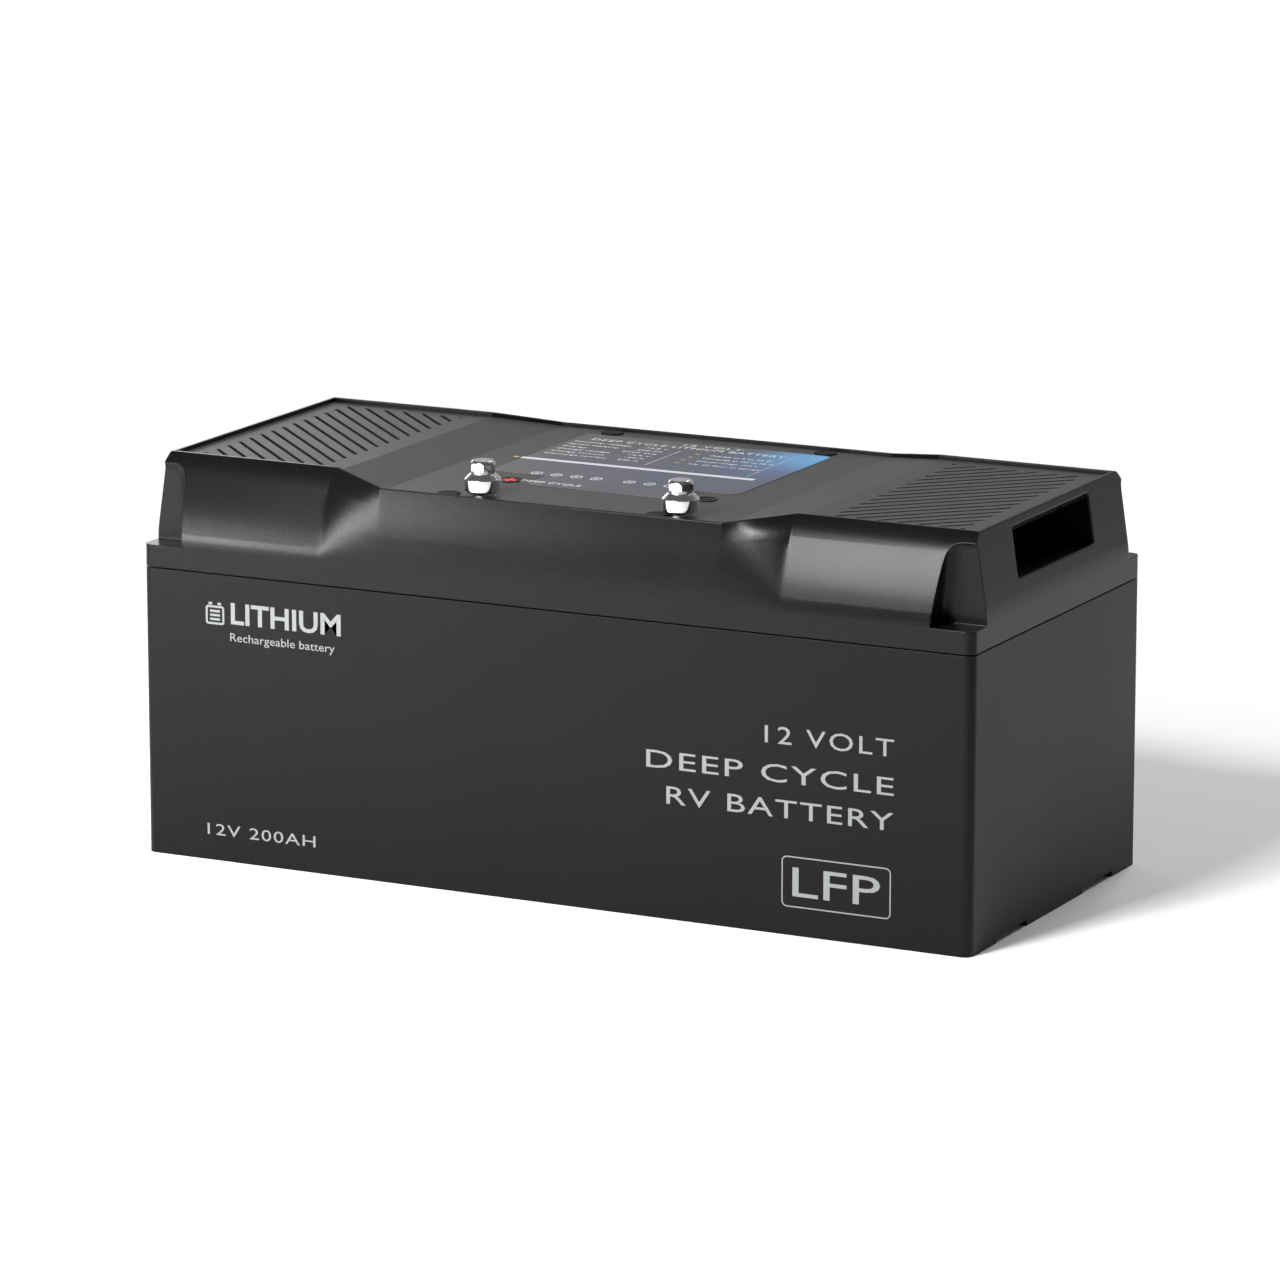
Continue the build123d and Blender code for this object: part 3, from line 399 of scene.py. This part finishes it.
def pressed_sheet(name, tint, sheen=0.6):
    """Card-like plastic with long fibres."""
    f = Finish(name)
    fibres = f.noise(f.shifted(f.place, stretch=(1, 1, 14)), 260.0, 4.0)
    cloud = f.noise(f.place, 25.0)
    rolled, along_edge = f.soft_edges(0.0002)
    f.show(
        Base_Color=f.mix((fibres * 0.7 + cloud * 0.3 - along_edge * 0.4).clamped(),
                         tinted(tint, 0.72), colour(*tint)),
        Roughness=(sheen + (fibres - 0.5) * 0.2).clamped(),
        Normal=f.bumps(fibres, 0.00005, rolled),
    )
    finishes[name] = f.material


rubber("gasket_rubber", (0.010, 0.010, 0.010), 0.62, 0.03)
rubber("seal_rubber", (0.012, 0.012, 0.012), 0.58, 0.03)
rubber("cable_red", (0.42, 0.014, 0.012), 0.42, 0.05)
rubber("cable_black", (0.012, 0.012, 0.012), 0.42, 0.03)
foam("pad_foam", (0.030, 0.030, 0.032))
pressed_sheet("spacer_sheet", (0.72, 0.70, 0.62))
print("with rubber, foam and sheet:", len(finishes))

# %% [markdown]
# ## Metals
#
# A metal's colour is the colour of its reflections, so its finish is mostly roughness and direction.
# Rolled and brushed metals have fine parallel lines, made here by a noise that is stretched along one
# axis.  Plated and cast metals are speckled instead.  Handling leaves duller patches on both.


# %% A finish for brushed, rolled, plated and cast metals
def metal(name, tint, sheen, lines=(1, 1, 1), scale=900.0, depth=0.00001, stain=0.25, edge=0.0003):
    """A metal; its lines run along the axis with the smallest stretch."""
    f = Finish(name, Metallic=1.0)
    brushed = f.noise(f.shifted(f.place, stretch=lines), scale, 3.0)
    patch = f.noise(f.place, 55.0, 5.0)
    rolled, along_edge = f.soft_edges(edge)
    dull = f.step(patch, 0.42, 0.75) * stain
    tone = f.mix(dull, colour(*tint), tinted(tint, 0.62))
    tone = f.mix((brushed - 0.5).clamped() * 0.5, tone, tinted(tint, 0.75))
    f.show(
        Base_Color=f.mix(along_edge * 0.5, tone, colour(*(min(1.0, c * 1.2) for c in tint))),
        Roughness=(sheen + (brushed - 0.5) * 0.16 + dull * 0.35 - along_edge * 0.08).clamped(),
        Normal=f.bumps(brushed, depth, rolled),
    )
    finishes[name] = f.material


metal("washer_steel", (0.46, 0.46, 0.47), 0.26)
metal("zinc_steel", (0.58, 0.59, 0.62), 0.32, scale=1400.0)
metal("insert_brass", (0.70, 0.50, 0.22), 0.28, lines=(1, 1, 12))
metal("strap_steel", (0.52, 0.53, 0.55), 0.34, lines=(0.06, 0.06, 3))
metal("end_plate_aluminium", (0.66, 0.66, 0.68), 0.50, scale=700.0, depth=0.00006)
metal("heatsink_aluminium", (0.60, 0.61, 0.63), 0.36, lines=(0.05, 2, 2))
metal("busbar_copper", (0.70, 0.30, 0.17), 0.30, lines=(0.08, 2, 2), stain=0.5)
metal("tinned_copper", (0.62, 0.60, 0.56), 0.34, stain=0.4)
metal("shield_tin", (0.60, 0.60, 0.58), 0.30, lines=(0.1, 2, 2))
print("with metals:", len(finishes))

# %% [markdown]
# ## Bright nickel terminals
#
# The posts and bolts are turned from bar and plated.  A lathe leaves fine rings round the axis, so each
# terminal has its own finish, centred on its own axis with a Mapping node.  The bolt's shank is plain in
# the frame.  Its thread is a bump that climbs one pitch a turn, seen when the bolt is backed out.

# %% Turned and plated finishes, centred on each terminal
THREAD_PITCH = 1.25 * MM
THREAD_RELIEF = 0.0006
PLATING_RELIEF = 0.000012
RINGS_OUTWARDS = 9000.0  # how fast the lathe's rings follow each other, on a face
RINGS_UPWARDS = 5200.0  # and along a shaft
THREAD_RUN_OUT = 0.0003
BOLT_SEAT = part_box("positive_lock_washer")[1].z


def axis_of(node):
    """Where the upright axis of a round part stands."""
    low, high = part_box(node)
    return (low.x + high.x) / 2, (low.y + high.y) / 2


def turned_nickel(name, node, threaded):
    """Bright plated metal with rings round the axis of one part, and a thread below its head."""
    f = Finish(name, Metallic=1.0)
    x, y = axis_of(node)
    centred = f.shifted(f.place, (x, y, 0))
    across, along, height = f.axes(centred)
    radius = f.far_from(f.node("ShaderNodeCombineXYZ", None, {0: across, 1: along}), (0, 0, 0))
    rings = (radius * RINGS_OUTWARDS + height * RINGS_UPWARDS).wave()
    speck = f.noise(centred, 900.0, 3.0)
    patch = f.noise(centred, 140.0, 4.0)
    rolled, along_edge = f.soft_edges(0.00045)
    relief = rings * 0.15 + speck * 0.1
    if threaded:
        turn = f.node("ShaderNodeMath", {"operation": "ARCTAN2"}, {0: along, 1: across})
        thread = (height * (2 * math.pi / THREAD_PITCH) + turn).wave()
        below_head = 1.0 - f.step(height, BOLT_SEAT - THREAD_RUN_OUT, BOLT_SEAT)
        relief = relief * 0.02 + thread * below_head
    dull = f.step(patch, 0.48, 0.8)
    shine = 0.11 + rings * 0.03 + dull * 0.10 + (speck - 0.5) * 0.04 - along_edge * 0.04
    f.show(
        Base_Color=f.mix(dull * 0.5, colour(0.76, 0.76, 0.77), colour(0.56, 0.56, 0.58)),
        Roughness=shine.clamped(),
        Normal=f.bumps(relief, THREAD_RELIEF if threaded else PLATING_RELIEF, rolled),
    )
    return f.material


terminal_finishes = {}
for pole in ("positive", "negative"):
    terminal_finishes[f"{pole}_post"] = turned_nickel(f"{pole}_post_nickel", f"{pole}_post", False)
    terminal_finishes[f"{pole}_bolt"] = turned_nickel(f"{pole}_bolt_nickel", f"{pole}_bolt", True)
print("terminal finishes:", sorted(terminal_finishes))

# %% [markdown]
# ## The hidden parts
#
# Under the lid are eight cells in blue film, a fibre board, a circuit board and a printed sense strip.
# Nobody sees them on the shelf, but the battery can be taken apart, so they have real finishes as well:
# woven glass for the boards, copper tracks under green lacquer, and shrink film with its faint ripples.


# %% Finishes for cells and boards
FILM_EDGE = 0.1 * MM


def cell_wrap(name):
    """Blue shrink film on the can; the bare pads and studs on top show metal."""
    f = Finish(name)
    height = f.axes(f.place)[2]
    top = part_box("top_insulation")[0].z
    bare = f.step(height, top - FILM_EDGE, top + FILM_EDGE)
    ripple = f.noise(f.shifted(f.place, stretch=(1, 1, 0.2)), 110.0, 3.0)
    bands = (height * 520.0).wave()
    rolled, along_edge = f.soft_edges(0.0006)
    stretched = (ripple * 0.6 + along_edge * 0.4).clamped()
    film = f.mix(stretched, colour(0.010, 0.07, 0.26), colour(0.03, 0.14, 0.42))
    film = f.mix(bands * 0.06, film, colour(0.4, 0.5, 0.7))
    f.show(
        Base_Color=f.mix(bare, film, colour(0.66, 0.66, 0.68)),
        Metallic=bare,
        Roughness=(0.26 + ripple * 0.12 + bare * 0.1).clamped(),
        Normal=f.bumps(ripple, 0.00008, rolled),
    )
    finishes[name] = f.material


THREADS_OF_CLOTH = 5200.0


def woven_board(name, dark, light, tracks=None):
    """Glass cloth in resin, and for a circuit board the copper tracks under its lacquer."""
    f = Finish(name)
    across, along, _ = f.axes(f.place)
    weave = (across * THREADS_OF_CLOTH).wave() * (along * THREADS_OF_CLOTH).wave()
    cloud = f.noise(f.place, 40.0, 3.0)
    rolled, along_edge = f.soft_edges(0.0002)
    shade = f.mix((weave * 0.5 + cloud * 0.5).clamped(), colour(*dark), colour(*light))
    relief = weave * 0.3
    if tracks is not None:
        settings = {"feature": "F1", "distance": "MANHATTAN"}
        inputs = {"Vector": f.place, "Scale": 130.0}
        routes = f.node("ShaderNodeTexVoronoi", settings, inputs, "Distance")
        lines = f.step((routes * 46.0).wave(), 0.72, 0.86)
        shade = f.mix(lines * 0.55, shade, colour(*tracks))
        relief = relief + lines * 0.7
    f.show(
        Base_Color=f.mix(along_edge * 0.3, shade, colour(*light)),
        Roughness=(0.30 + cloud * 0.14).clamped(),
        Normal=f.bumps(relief, 0.00003, rolled),
    )
    finishes[name] = f.material


COPPER_LINES = 6300.0


def sense_film(name):
    """Amber film with copper lines along it."""
    f = Finish(name)
    along = f.axes(f.place)[1]
    line = f.step((along * COPPER_LINES).wave(), 0.55, 0.75)
    cloud = f.noise(f.place, 90.0, 3.0)
    amber = f.mix(cloud, colour(0.44, 0.16, 0.014), colour(0.62, 0.26, 0.03))
    f.show(
        Base_Color=f.mix(line * 0.7, amber, colour(0.60, 0.22, 0.08)),
        Metallic=line * 0.6,
        Roughness=(0.2 + cloud * 0.15).clamped(),
        Normal=f.bumps(line, 0.00004),
    )
    finishes[name] = f.material


cell_wrap("cell_can")
woven_board("fibre_board", (0.34, 0.40, 0.22), (0.56, 0.62, 0.40))
woven_board("board_green", (0.008, 0.10, 0.035), (0.015, 0.17, 0.07), tracks=(0.04, 0.30, 0.12))
sense_film("strip_film")
print("with cells and boards:", len(finishes))

# %% [markdown]
# ## The label
#
# The data label is a printed sheet with a satin cover film.  It is grey like the deck at its near side
# and fades to a blue glow at the far right corner, which is only printed, so it is part of the colour:
# soft round patches, each the distance from a point put through a smooth step.

# %% The printed sheet's own finish
LABEL_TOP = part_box("spec_label")[1].z


def label_sheet(name):
    """Printed sheet under a satin cover film."""
    f = Finish(name, Coat_Roughness=0.3)
    fine = f.noise(f.place, 1300.0, 2.0)
    cloud = f.noise(f.place, 30.0, 3.0)

    def glow(x, y, reach):
        """1 at a point of the label, fading to 0 at so many millimetres from it."""
        return 1.0 - f.step(f.far_from(f.place, (x * MM, y * MM, LABEL_TOP)), 0.0, reach * MM)

    ground = f.mix(cloud, colour(0.026, 0.028, 0.032), colour(0.034, 0.036, 0.041))
    ground = f.mix(glow(30, 10, 95) * 0.75, ground, colour(0.030, 0.036, 0.085))
    ground = f.mix(glow(-20, 0, 60) * 0.4, ground, colour(0.040, 0.038, 0.085))
    ground = f.mix(glow(72, 60, 70) * 0.7, ground, colour(0.035, 0.10, 0.26))
    ground = f.mix(glow(74, 82, 52), ground, colour(0.06, 0.26, 0.50))
    rolled, along_edge = f.soft_edges(0.0001)
    f.show(
        Base_Color=f.mix(along_edge * 0.4, ground, colour(0.2, 0.2, 0.2)),
        Roughness=(0.40 + (fine - 0.5) * 0.08 + (cloud - 0.5) * 0.06).clamped(),
        Coat_Weight=(0.25 + (cloud - 0.5) * 0.2).clamped(),
        Normal=f.bumps(fine, 0.000008, rolled),
    )
    finishes[name] = f.material


label_sheet("label_film")
print("label film on top at", round(LABEL_TOP, 4))

# %% [markdown]
# ## Printing ink
#
# Screen-printed ink lies on the plastic as a thin dry film.  It could be a mask in the plastic's own
# material.  Here it is a finish of its own, because the words are pieces of their own.  It has a dull
# shine, and is slightly uneven in colour and thickness.


# %% Inks in grey, white and yellow
def ink(name, tint, sheen=0.5):
    """Screen-printed ink: slightly uneven in colour and in thickness."""
    f = Finish(name)
    speckle = f.noise(f.place, 2400.0, 3.0)
    cloud = f.noise(f.place, 120.0, 3.0)
    f.show(
        Base_Color=f.mix((speckle * 0.5 + cloud * 0.5).clamped(),
                         tinted(tint, 0.85), tinted(tint, 1.1)),
        Roughness=(sheen + (speckle - 0.5) * 0.15).clamped(),
        Normal=f.bumps(speckle, 0.00001),
    )
    finishes[name] = f.material


ink("grey_ink", (0.19, 0.20, 0.193))
ink("white_ink", (0.50, 0.51, 0.53), 0.4)
ink("yellow_ink", (0.36, 0.29, 0.08), 0.4)
print("all finishes:", len(finishes) + len(terminal_finishes))

# %% [markdown]
# ## Dressing the frame
#
# The record that came with the frame names a finish for every part.  The two terminals and their bolts
# are the exception: each has its own finish, because its rings are centred on its own axis.

# %% Give every part of the frame its finish
for part in frame["record"]["subparts"]:
    name = part["node"]
    nodes[name].data.materials.clear()
    nodes[name].data.materials.append(terminal_finishes.get(name) or finishes[part["material_slot"]])

# %% [markdown]
# ## Printing on the front
#
# The front of the tub is screen printed in pale grey: three lines of wide capitals, a framed short word,
# a rating and a small battery sign.  Printed ink stands up by a hair, so the words are made as very
# thin solids.  Blender's text object shapes the letters.  It becomes a mesh, which is then stretched to
# fill the rectangle it should fill, so that the layout doesn't depend on the font.

# %% Make words solid and fit them into a rectangle
INK = 0.05 * MM  # how far the ink stands up
PRINT_SINK = 0.02 * MM  # and how far it reaches into the surface, so that no gap shows
LETTER_ROUNDNESS = 3
MERGE_WITHIN = 1e-6
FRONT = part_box("case_tub")[0].y


def closed_mesh(shape, name):
    """A bmesh made a clean, outward-facing mesh object in the scene."""
    bmesh.ops.remove_doubles(shape, verts=shape.verts, dist=MERGE_WITHIN)
    bmesh.ops.recalc_face_normals(shape, faces=shape.faces)
    mesh = bpy.data.meshes.new(name)
    shape.to_mesh(mesh)
    shape.free()
    piece = bpy.data.objects.new(name, mesh)
    bpy.context.scene.collection.objects.link(piece)
    return piece


def word_shape(words, weight=0.0, spacing=1.0):
    """Letters as a bmesh, one unit wide and one unit high, their thickness from 0 to 1."""
    text = bpy.data.curves.new("letters", "FONT")
    text.body = words
    text.extrude = 0.5
    text.offset = weight
    text.space_character = spacing
    text.resolution_u = LETTER_ROUNDNESS
    holder = bpy.data.objects.new("letters", text)
    mesh = bpy.data.meshes.new_from_object(holder)
    shape = bmesh.new()
    shape.from_mesh(mesh)
    bpy.data.objects.remove(holder)
    bpy.data.meshes.remove(mesh)
    xs = [v.co.x for v in shape.verts]
    ys = [v.co.y for v in shape.verts]
    to_corner = Matrix.Translation((-min(xs), -min(ys), 0.5))
    to_unit = Matrix.Diagonal((1 / (max(xs) - min(xs)), 1 / (max(ys) - min(ys)), 1, 1))
    bmesh.ops.transform(shape, matrix=to_unit @ to_corner, verts=shape.verts)
    return shape


# %% Places for print on the front and on the label
def on_front(left, right, low, high):
    """Carries a unit shape to a rectangle on the front of the tub, in millimetres."""
    size = Matrix.Diagonal(((right - left) * MM, (high - low) * MM, INK + PRINT_SINK, 1))
    upright = Matrix.Rotation(math.pi / 2, 4, "X")
    return Matrix.Translation((left * MM, FRONT + PRINT_SINK, low * MM)) @ upright @ size


def on_label(left, right, near, far):
    """Carries a unit shape to a rectangle on the label, in millimetres."""
    size = Matrix.Diagonal(((right - left) * MM, (far - near) * MM, INK + PRINT_SINK, 1))
    return Matrix.Translation((left * MM, near * MM, LABEL_TOP - PRINT_SINK)) @ size


def finished(shape, name, finish):
    """Puts a bmesh in the scene as a piece that rides on the housing."""
    piece = closed_mesh(shape, name)
    piece.data.materials.append(finishes[finish])
    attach(piece, "housing")
    return piece


def print_words(lines, name, place, finish):
    """Several lines of words as one piece; each line has its words, weight, spacing and rectangle."""
    whole = bmesh.new()
    for words, weight, spacing, rectangle in lines:
        letters = word_shape(words, weight, spacing)
        bmesh.ops.transform(letters, matrix=place(*rectangle), verts=letters.verts)
        part = bpy.data.meshes.new("part")
        letters.to_mesh(part)
        whole.from_mesh(part)
        letters.free()
        bpy.data.meshes.remove(part)
    return finished(whole, name, finish)


print("print stands up by", INK)

# %% Print the words on the front
print_words([
    ("12 VOLT", 0.0, 1.15, (130.4, 205.4, 103.4, 112.9)),
    ("DEEP CYCLE", 0.0, 1.1, (60.4, 205.4, 82.5, 92.3)),
    ("RV BATTERY", 0.0, 1.1, (72.4, 205.4, 63.5, 73.3)),
], "front_title", on_front, "grey_ink")
print_words([
    ("LFP", 0.0, 1.0, (147.0, 198.0, 21.6, 37.4)),
], "front_grade", on_front, "grey_ink")
print_words([
    ("12V 200AH", 0.0, 1.1, (-211.1, -142.7, 14.4, 20.8)),
], "front_rating", on_front, "grey_ink")
print_words([
    ("LITHIUM", 0.02, 1.0, (-194.4, -125.5, 134.6, 146.7)),
    ("Rechargeable battery", 0.0, 1.0, (-195.0, -129.4, 123.7, 129.7)),
], "front_heading", on_front, "grey_ink")
print("front words printed")


# %% [markdown]
# ## Frames and signs
#
# The short word stands in a thin round-cornered frame, and a small battery sign stands at the upper
# left.  A frame like this could be a curve with a bevel.  Two rounded outlines are simpler: each is a
# rectangle whose corners are beveled, they are bridged into a flat rim, and the rim is extruded.

# %% Rounded bars
CORNER_SEGMENTS = 4


def moved_points(extruded):
    """The points among what an extrusion made."""
    return [v for v in extruded["geom"] if isinstance(v, bmesh.types.BMVert)]


def unit_square(shape):
    """Adds a square that reaches from 0 to 1, and gives its four points."""
    made = bmesh.ops.create_grid(shape, x_segments=1, y_segments=1, size=0.5)["verts"]
    bmesh.ops.translate(shape, vec=(0.5, 0.5, 0), verts=made)
    return made


def rounded(shape, corners, rounding, affect):
    """Rounds some edges, or some corners of a flat face, by so many millimetres."""
    bmesh.ops.bevel(shape, geom=corners, offset=rounding * MM, segments=CORNER_SEGMENTS,
                    affect=affect, profile=0.5, material=-1)


def add_bar(shape, place, left, right, low, high, rounding=0.0):
    """Adds a thin printed bar to a bmesh."""
    made = unit_square(shape)
    faces = list(dict.fromkeys(f for v in made for f in v.link_faces))
    top = moved_points(bmesh.ops.extrude_face_region(shape, geom=faces))
    bmesh.ops.translate(shape, vec=(0, 0, 1), verts=top)
    bmesh.ops.transform(shape, matrix=place(left, right, low, high), verts=made + top)
    if rounding:
        touching = dict.fromkeys(e for v in top for e in v.link_edges)
        uprights = [e for e in touching if sum(v in top for v in e.verts) == 1]
        rounded(shape, uprights, rounding, "EDGES")


print("bars have corners of", CORNER_SEGMENTS, "steps")


# %% Rounded frames
SMALLEST_ROUNDING = 0.3


def rounded_outline(shape, place, left, right, low, high, rounding):
    """Adds the edges of a rectangle with rounded corners."""
    before = set(shape.faces)
    made = unit_square(shape)
    bmesh.ops.transform(shape, matrix=place(left, right, low, high), verts=made)
    rounded(shape, made, rounding, "VERTICES")
    face = next(f for f in shape.faces if f not in before)
    edges = list(face.edges)
    bmesh.ops.delete(shape, geom=[face], context="FACES_ONLY")
    return edges


def add_frame(shape, place, left, right, low, high, stroke, rounding):
    """Adds a thin printed frame: two rounded outlines bridged, then thickened."""
    edges = rounded_outline(shape, place, left, right, low, high, rounding)
    inner = (left + stroke, right - stroke, low + stroke, high - stroke)
    edges += rounded_outline(shape, place, *inner, max(rounding - stroke, SMALLEST_ROUNDING))
    flat = bmesh.ops.bridge_loops(shape, edges=edges)["faces"]
    top = moved_points(bmesh.ops.extrude_face_region(shape, geom=flat))
    thickness = place(0, 1, 0, 1).to_3x3() @ Vector((0, 0, 1))
    bmesh.ops.translate(shape, vec=thickness, verts=top)


print("frames have inner corners of at least", SMALLEST_ROUNDING, "mm")

# %% Print the frame and the battery sign
shape = bmesh.new()
add_frame(shape, on_front, 140.6, 204.2, 15.5, 43.3, 0.7, 3.0)
finished(shape, "front_frame", "grey_ink")
shape = bmesh.new()
add_frame(shape, on_front, -210.3, -198.6, 133.6, 144.2, 1.2, 1.6)
for left, right in ((-208.4, -206.2), (-202.7, -200.5)):
    add_bar(shape, on_front, left, right, 144.6, 146.0)
for low, high in ((138.2, 139.5), (135.9, 137.2), (140.5, 141.8)):
    add_bar(shape, on_front, -207.6, -201.3, low, high)
finished(shape, "front_sign", "grey_ink")
print("frame and sign printed")

# %% [markdown]
# ## Printing on the label
#
# The label carries a title, a table of ratings in two columns, a white rule, a row of small round signs
# and a short word.  All of it says only what any battery of this kind would say.

# %% Words and rules on the label
RATING_PITCH = 7.4
NOTE_PITCH = 8.6
ratings = [
    "Nominal voltage      12.8 V",
    "Rated capacity       200 Ah",
    "Energy              2560 Wh",
    "Charge voltage       14.4 V",
    "Charge current        100 A",
    "Discharge current     200 A",
]
notes = [
    "Charge at 0 to 45 C",
    "Discharge at -20 to 60 C",
    "Cut-off voltage 10.0 V",
    "Up to four in series",
]
label_lines = [
    ("DEEP CYCLE LITHIUM BATTERY", 0.0, 1.1, (-68, 52, 73.5, 78.5)),
    ("12 VOLT", 0.0, 1.1, (-14, 22, 81.5, 85.5)),
    ("DEEP CYCLE", 0.01, 1.05, (-49, -12, -49, -44.5)),
]
for i, words in enumerate(ratings):
    rectangle = (-74, -16, 64.5 - i * RATING_PITCH, 68.0 - i * RATING_PITCH)
    label_lines.append((words, 0.0, 1.0, rectangle))
for i, words in enumerate(notes):
    right = 50 + 5 * (i % 2)  # every second note is a little longer
    label_lines.append((words, 0.0, 1.0, (12, right, 60.0 - i * NOTE_PITCH, 63.6 - i * NOTE_PITCH)))
print_words(label_lines, "label_words", on_label, "white_ink")
print("lines on the label:", len(label_lines))

# %% Rules, bullets and round signs on the label
SIGNS = 7
FIRST_GROUP = 4
SIGN_PITCH = 12.2
SIGN_WIDTH = 7.0
GROUP_GAP = 8

shape = bmesh.new()
add_bar(shape, on_label, -79, 64, 9.0, 13.4, 0.8)
add_bar(shape, on_label, -8.4, -7.9, 22, 66)
add_bar(shape, on_label, 56.2, 56.6, 16, 78)
finished(shape, "label_rules", "white_ink")
shape = bmesh.new()
add_bar(shape, on_label, -84, -80.5, 9.6, 12.8, 0.8)
for i in range(len(notes)):
    add_bar(shape, on_label, 3, 6, 61.2 - i * NOTE_PITCH, 62.6 - i * NOTE_PITCH, 0.5)
finished(shape, "label_bullets", "yellow_ink")
shape = bmesh.new()
for i in range(SIGNS):
    left = -54 + i * SIGN_PITCH + (GROUP_GAP if i >= FIRST_GROUP else 0)
    add_frame(shape, on_label, left, left + SIGN_WIDTH, -28.5, -21.5, 0.8, 3.4)
    add_bar(shape, on_label, left + 2.2, left + 4.8, -25.6, -24.4)
finished(shape, "label_signs", "white_ink")
print("round signs:", SIGNS)

# %% [markdown]
# ## Light
#
# Dark satin plastic hardly shows its own colour.  What the eye reads is the room reflected in it, so
# the light matters as much as the materials.  The key lamp stands high in front, a little to the left:
# it throws the shadow back and to the right.  Two small lamps nearer by, one in front and a low one at
# the left, draw the bright patches on the flanks.  A wide lamp behind keeps the far floor white, and one
# at the back left puts a sheen on the deck.  The room is brighter behind than in front and above, and
# to the camera it is plain white.  Brighter walls alone could light it, but would throw no such shadow.

# %% A pale room, brighter behind than in front and above
ROOM_FRONT = 0.10
ROOM_BACK = 0.45
ROOM_TOP = 0.12
SEEN_WHITE = 1.02


def room_light():
    """A world that lights like a room and is seen as white."""
    world = bpy.data.worlds.new("pale_room")
    world.use_nodes = True
    r = Recipe(world.node_tree)
    direction = r.node("ShaderNodeTexCoord", output="Generated")
    _, along, height = r.axes(direction)
    backdrop = r.step(along, -0.1, 0.6)
    level = r.mix(backdrop, colour(ROOM_FRONT), colour(ROOM_BACK))
    level = r.mix(r.step(height, 0.22, 0.75), level, colour(ROOM_TOP))
    background = world.node_tree.nodes["Background"]
    seen = r.node("ShaderNodeLightPath", output="Is Camera Ray")
    r.connect(background.inputs["Color"], r.mix(seen, level, colour(SEEN_WHITE)))
    background.inputs["Strength"].default_value = 1.0
    return world


bpy.context.scene.world = room_light()
bpy.context.scene.view_settings.view_transform = "Standard"
bpy.context.scene.view_settings.look = "None"
print("room:", ROOM_FRONT, "in front,", ROOM_BACK, "behind,", ROOM_TOP, "above")


# %% Soft lamps
def soft_lamp(name, place, aim, size, power):
    """A rectangular lamp at a place, turned towards a point."""
    light = bpy.data.lights.new(name, "AREA")
    light.shape = "RECTANGLE"
    light.size, light.size_y = size
    light.energy = power
    lamp = bpy.data.objects.new(name, light)
    lamp.visible_camera = False
    bpy.context.scene.collection.objects.link(lamp)
    lamp.location = place
    lamp.rotation_mode = "QUATERNION"
    lamp.rotation_quaternion = (Vector(aim) - Vector(place)).to_track_quat("-Z", "Y")


soft_lamp("key_lamp", (-0.5, -2.5, 2.35), (0, 0, 0.1), (0.5, 0.5), 95)
soft_lamp("front_lamp", (-0.24, -0.95, 0.72), (0.2, -0.1, 0.2), (0.40, 0.40), 13)
soft_lamp("low_lamp", (-0.78, -0.95, 0.30), (-0.2, -0.1, 0.18), (0.35, 0.25), 9)
soft_lamp("floor_lamp", (0.3, 2.6, 3.2), (0.2, 1.0, 0), (1.6, 1.6), 85)
soft_lamp("back_lamp", (-1.95, 1.95, 0.8), (-0.1, 0, 0.2), (1.2, 0.8), 7.5)

# %% [markdown]
# ## The floor
#
# The battery stands on a sheet of white paper.  The sheet is just so large that, seen from the front,
# its edge melts into the white behind it.  It is part of the stage, not of the battery.

# %% Lay the white paper
FLOOR_HALF = 1.7
shape = bmesh.new()
bmesh.ops.create_grid(shape, x_segments=1, y_segments=1, size=FLOOR_HALF)
floor = bpy.data.objects.new("floor", bpy.data.meshes.new("floor"))
shape.to_mesh(floor.data)
shape.free()
bpy.context.scene.collection.objects.link(floor)
floor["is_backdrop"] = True
paper = Finish("white_paper")
fibre = paper.noise(paper.place, 40.0, 3.0)
paper.show(Base_Color=paper.mix(fibre, colour(0.90), colour(0.92)), Roughness=0.9 + fibre * 0.05)
floor.data.materials.append(paper.material)
print("paper:", 2 * FLOOR_HALF, "metres square")

# %% [markdown]
# ## The size
#
# At the end the whole model is measured.  The pieces made here are thin print, so the size should be
# that of the CAD model to a tenth of a millimetre.

# %% Measure the size and print it beside the CAD model's
low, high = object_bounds()
print("size", [round(c, 4) for c in high - low], "CAD", [round(c, 4) for c in CAD_HIGH - CAD_LOW])
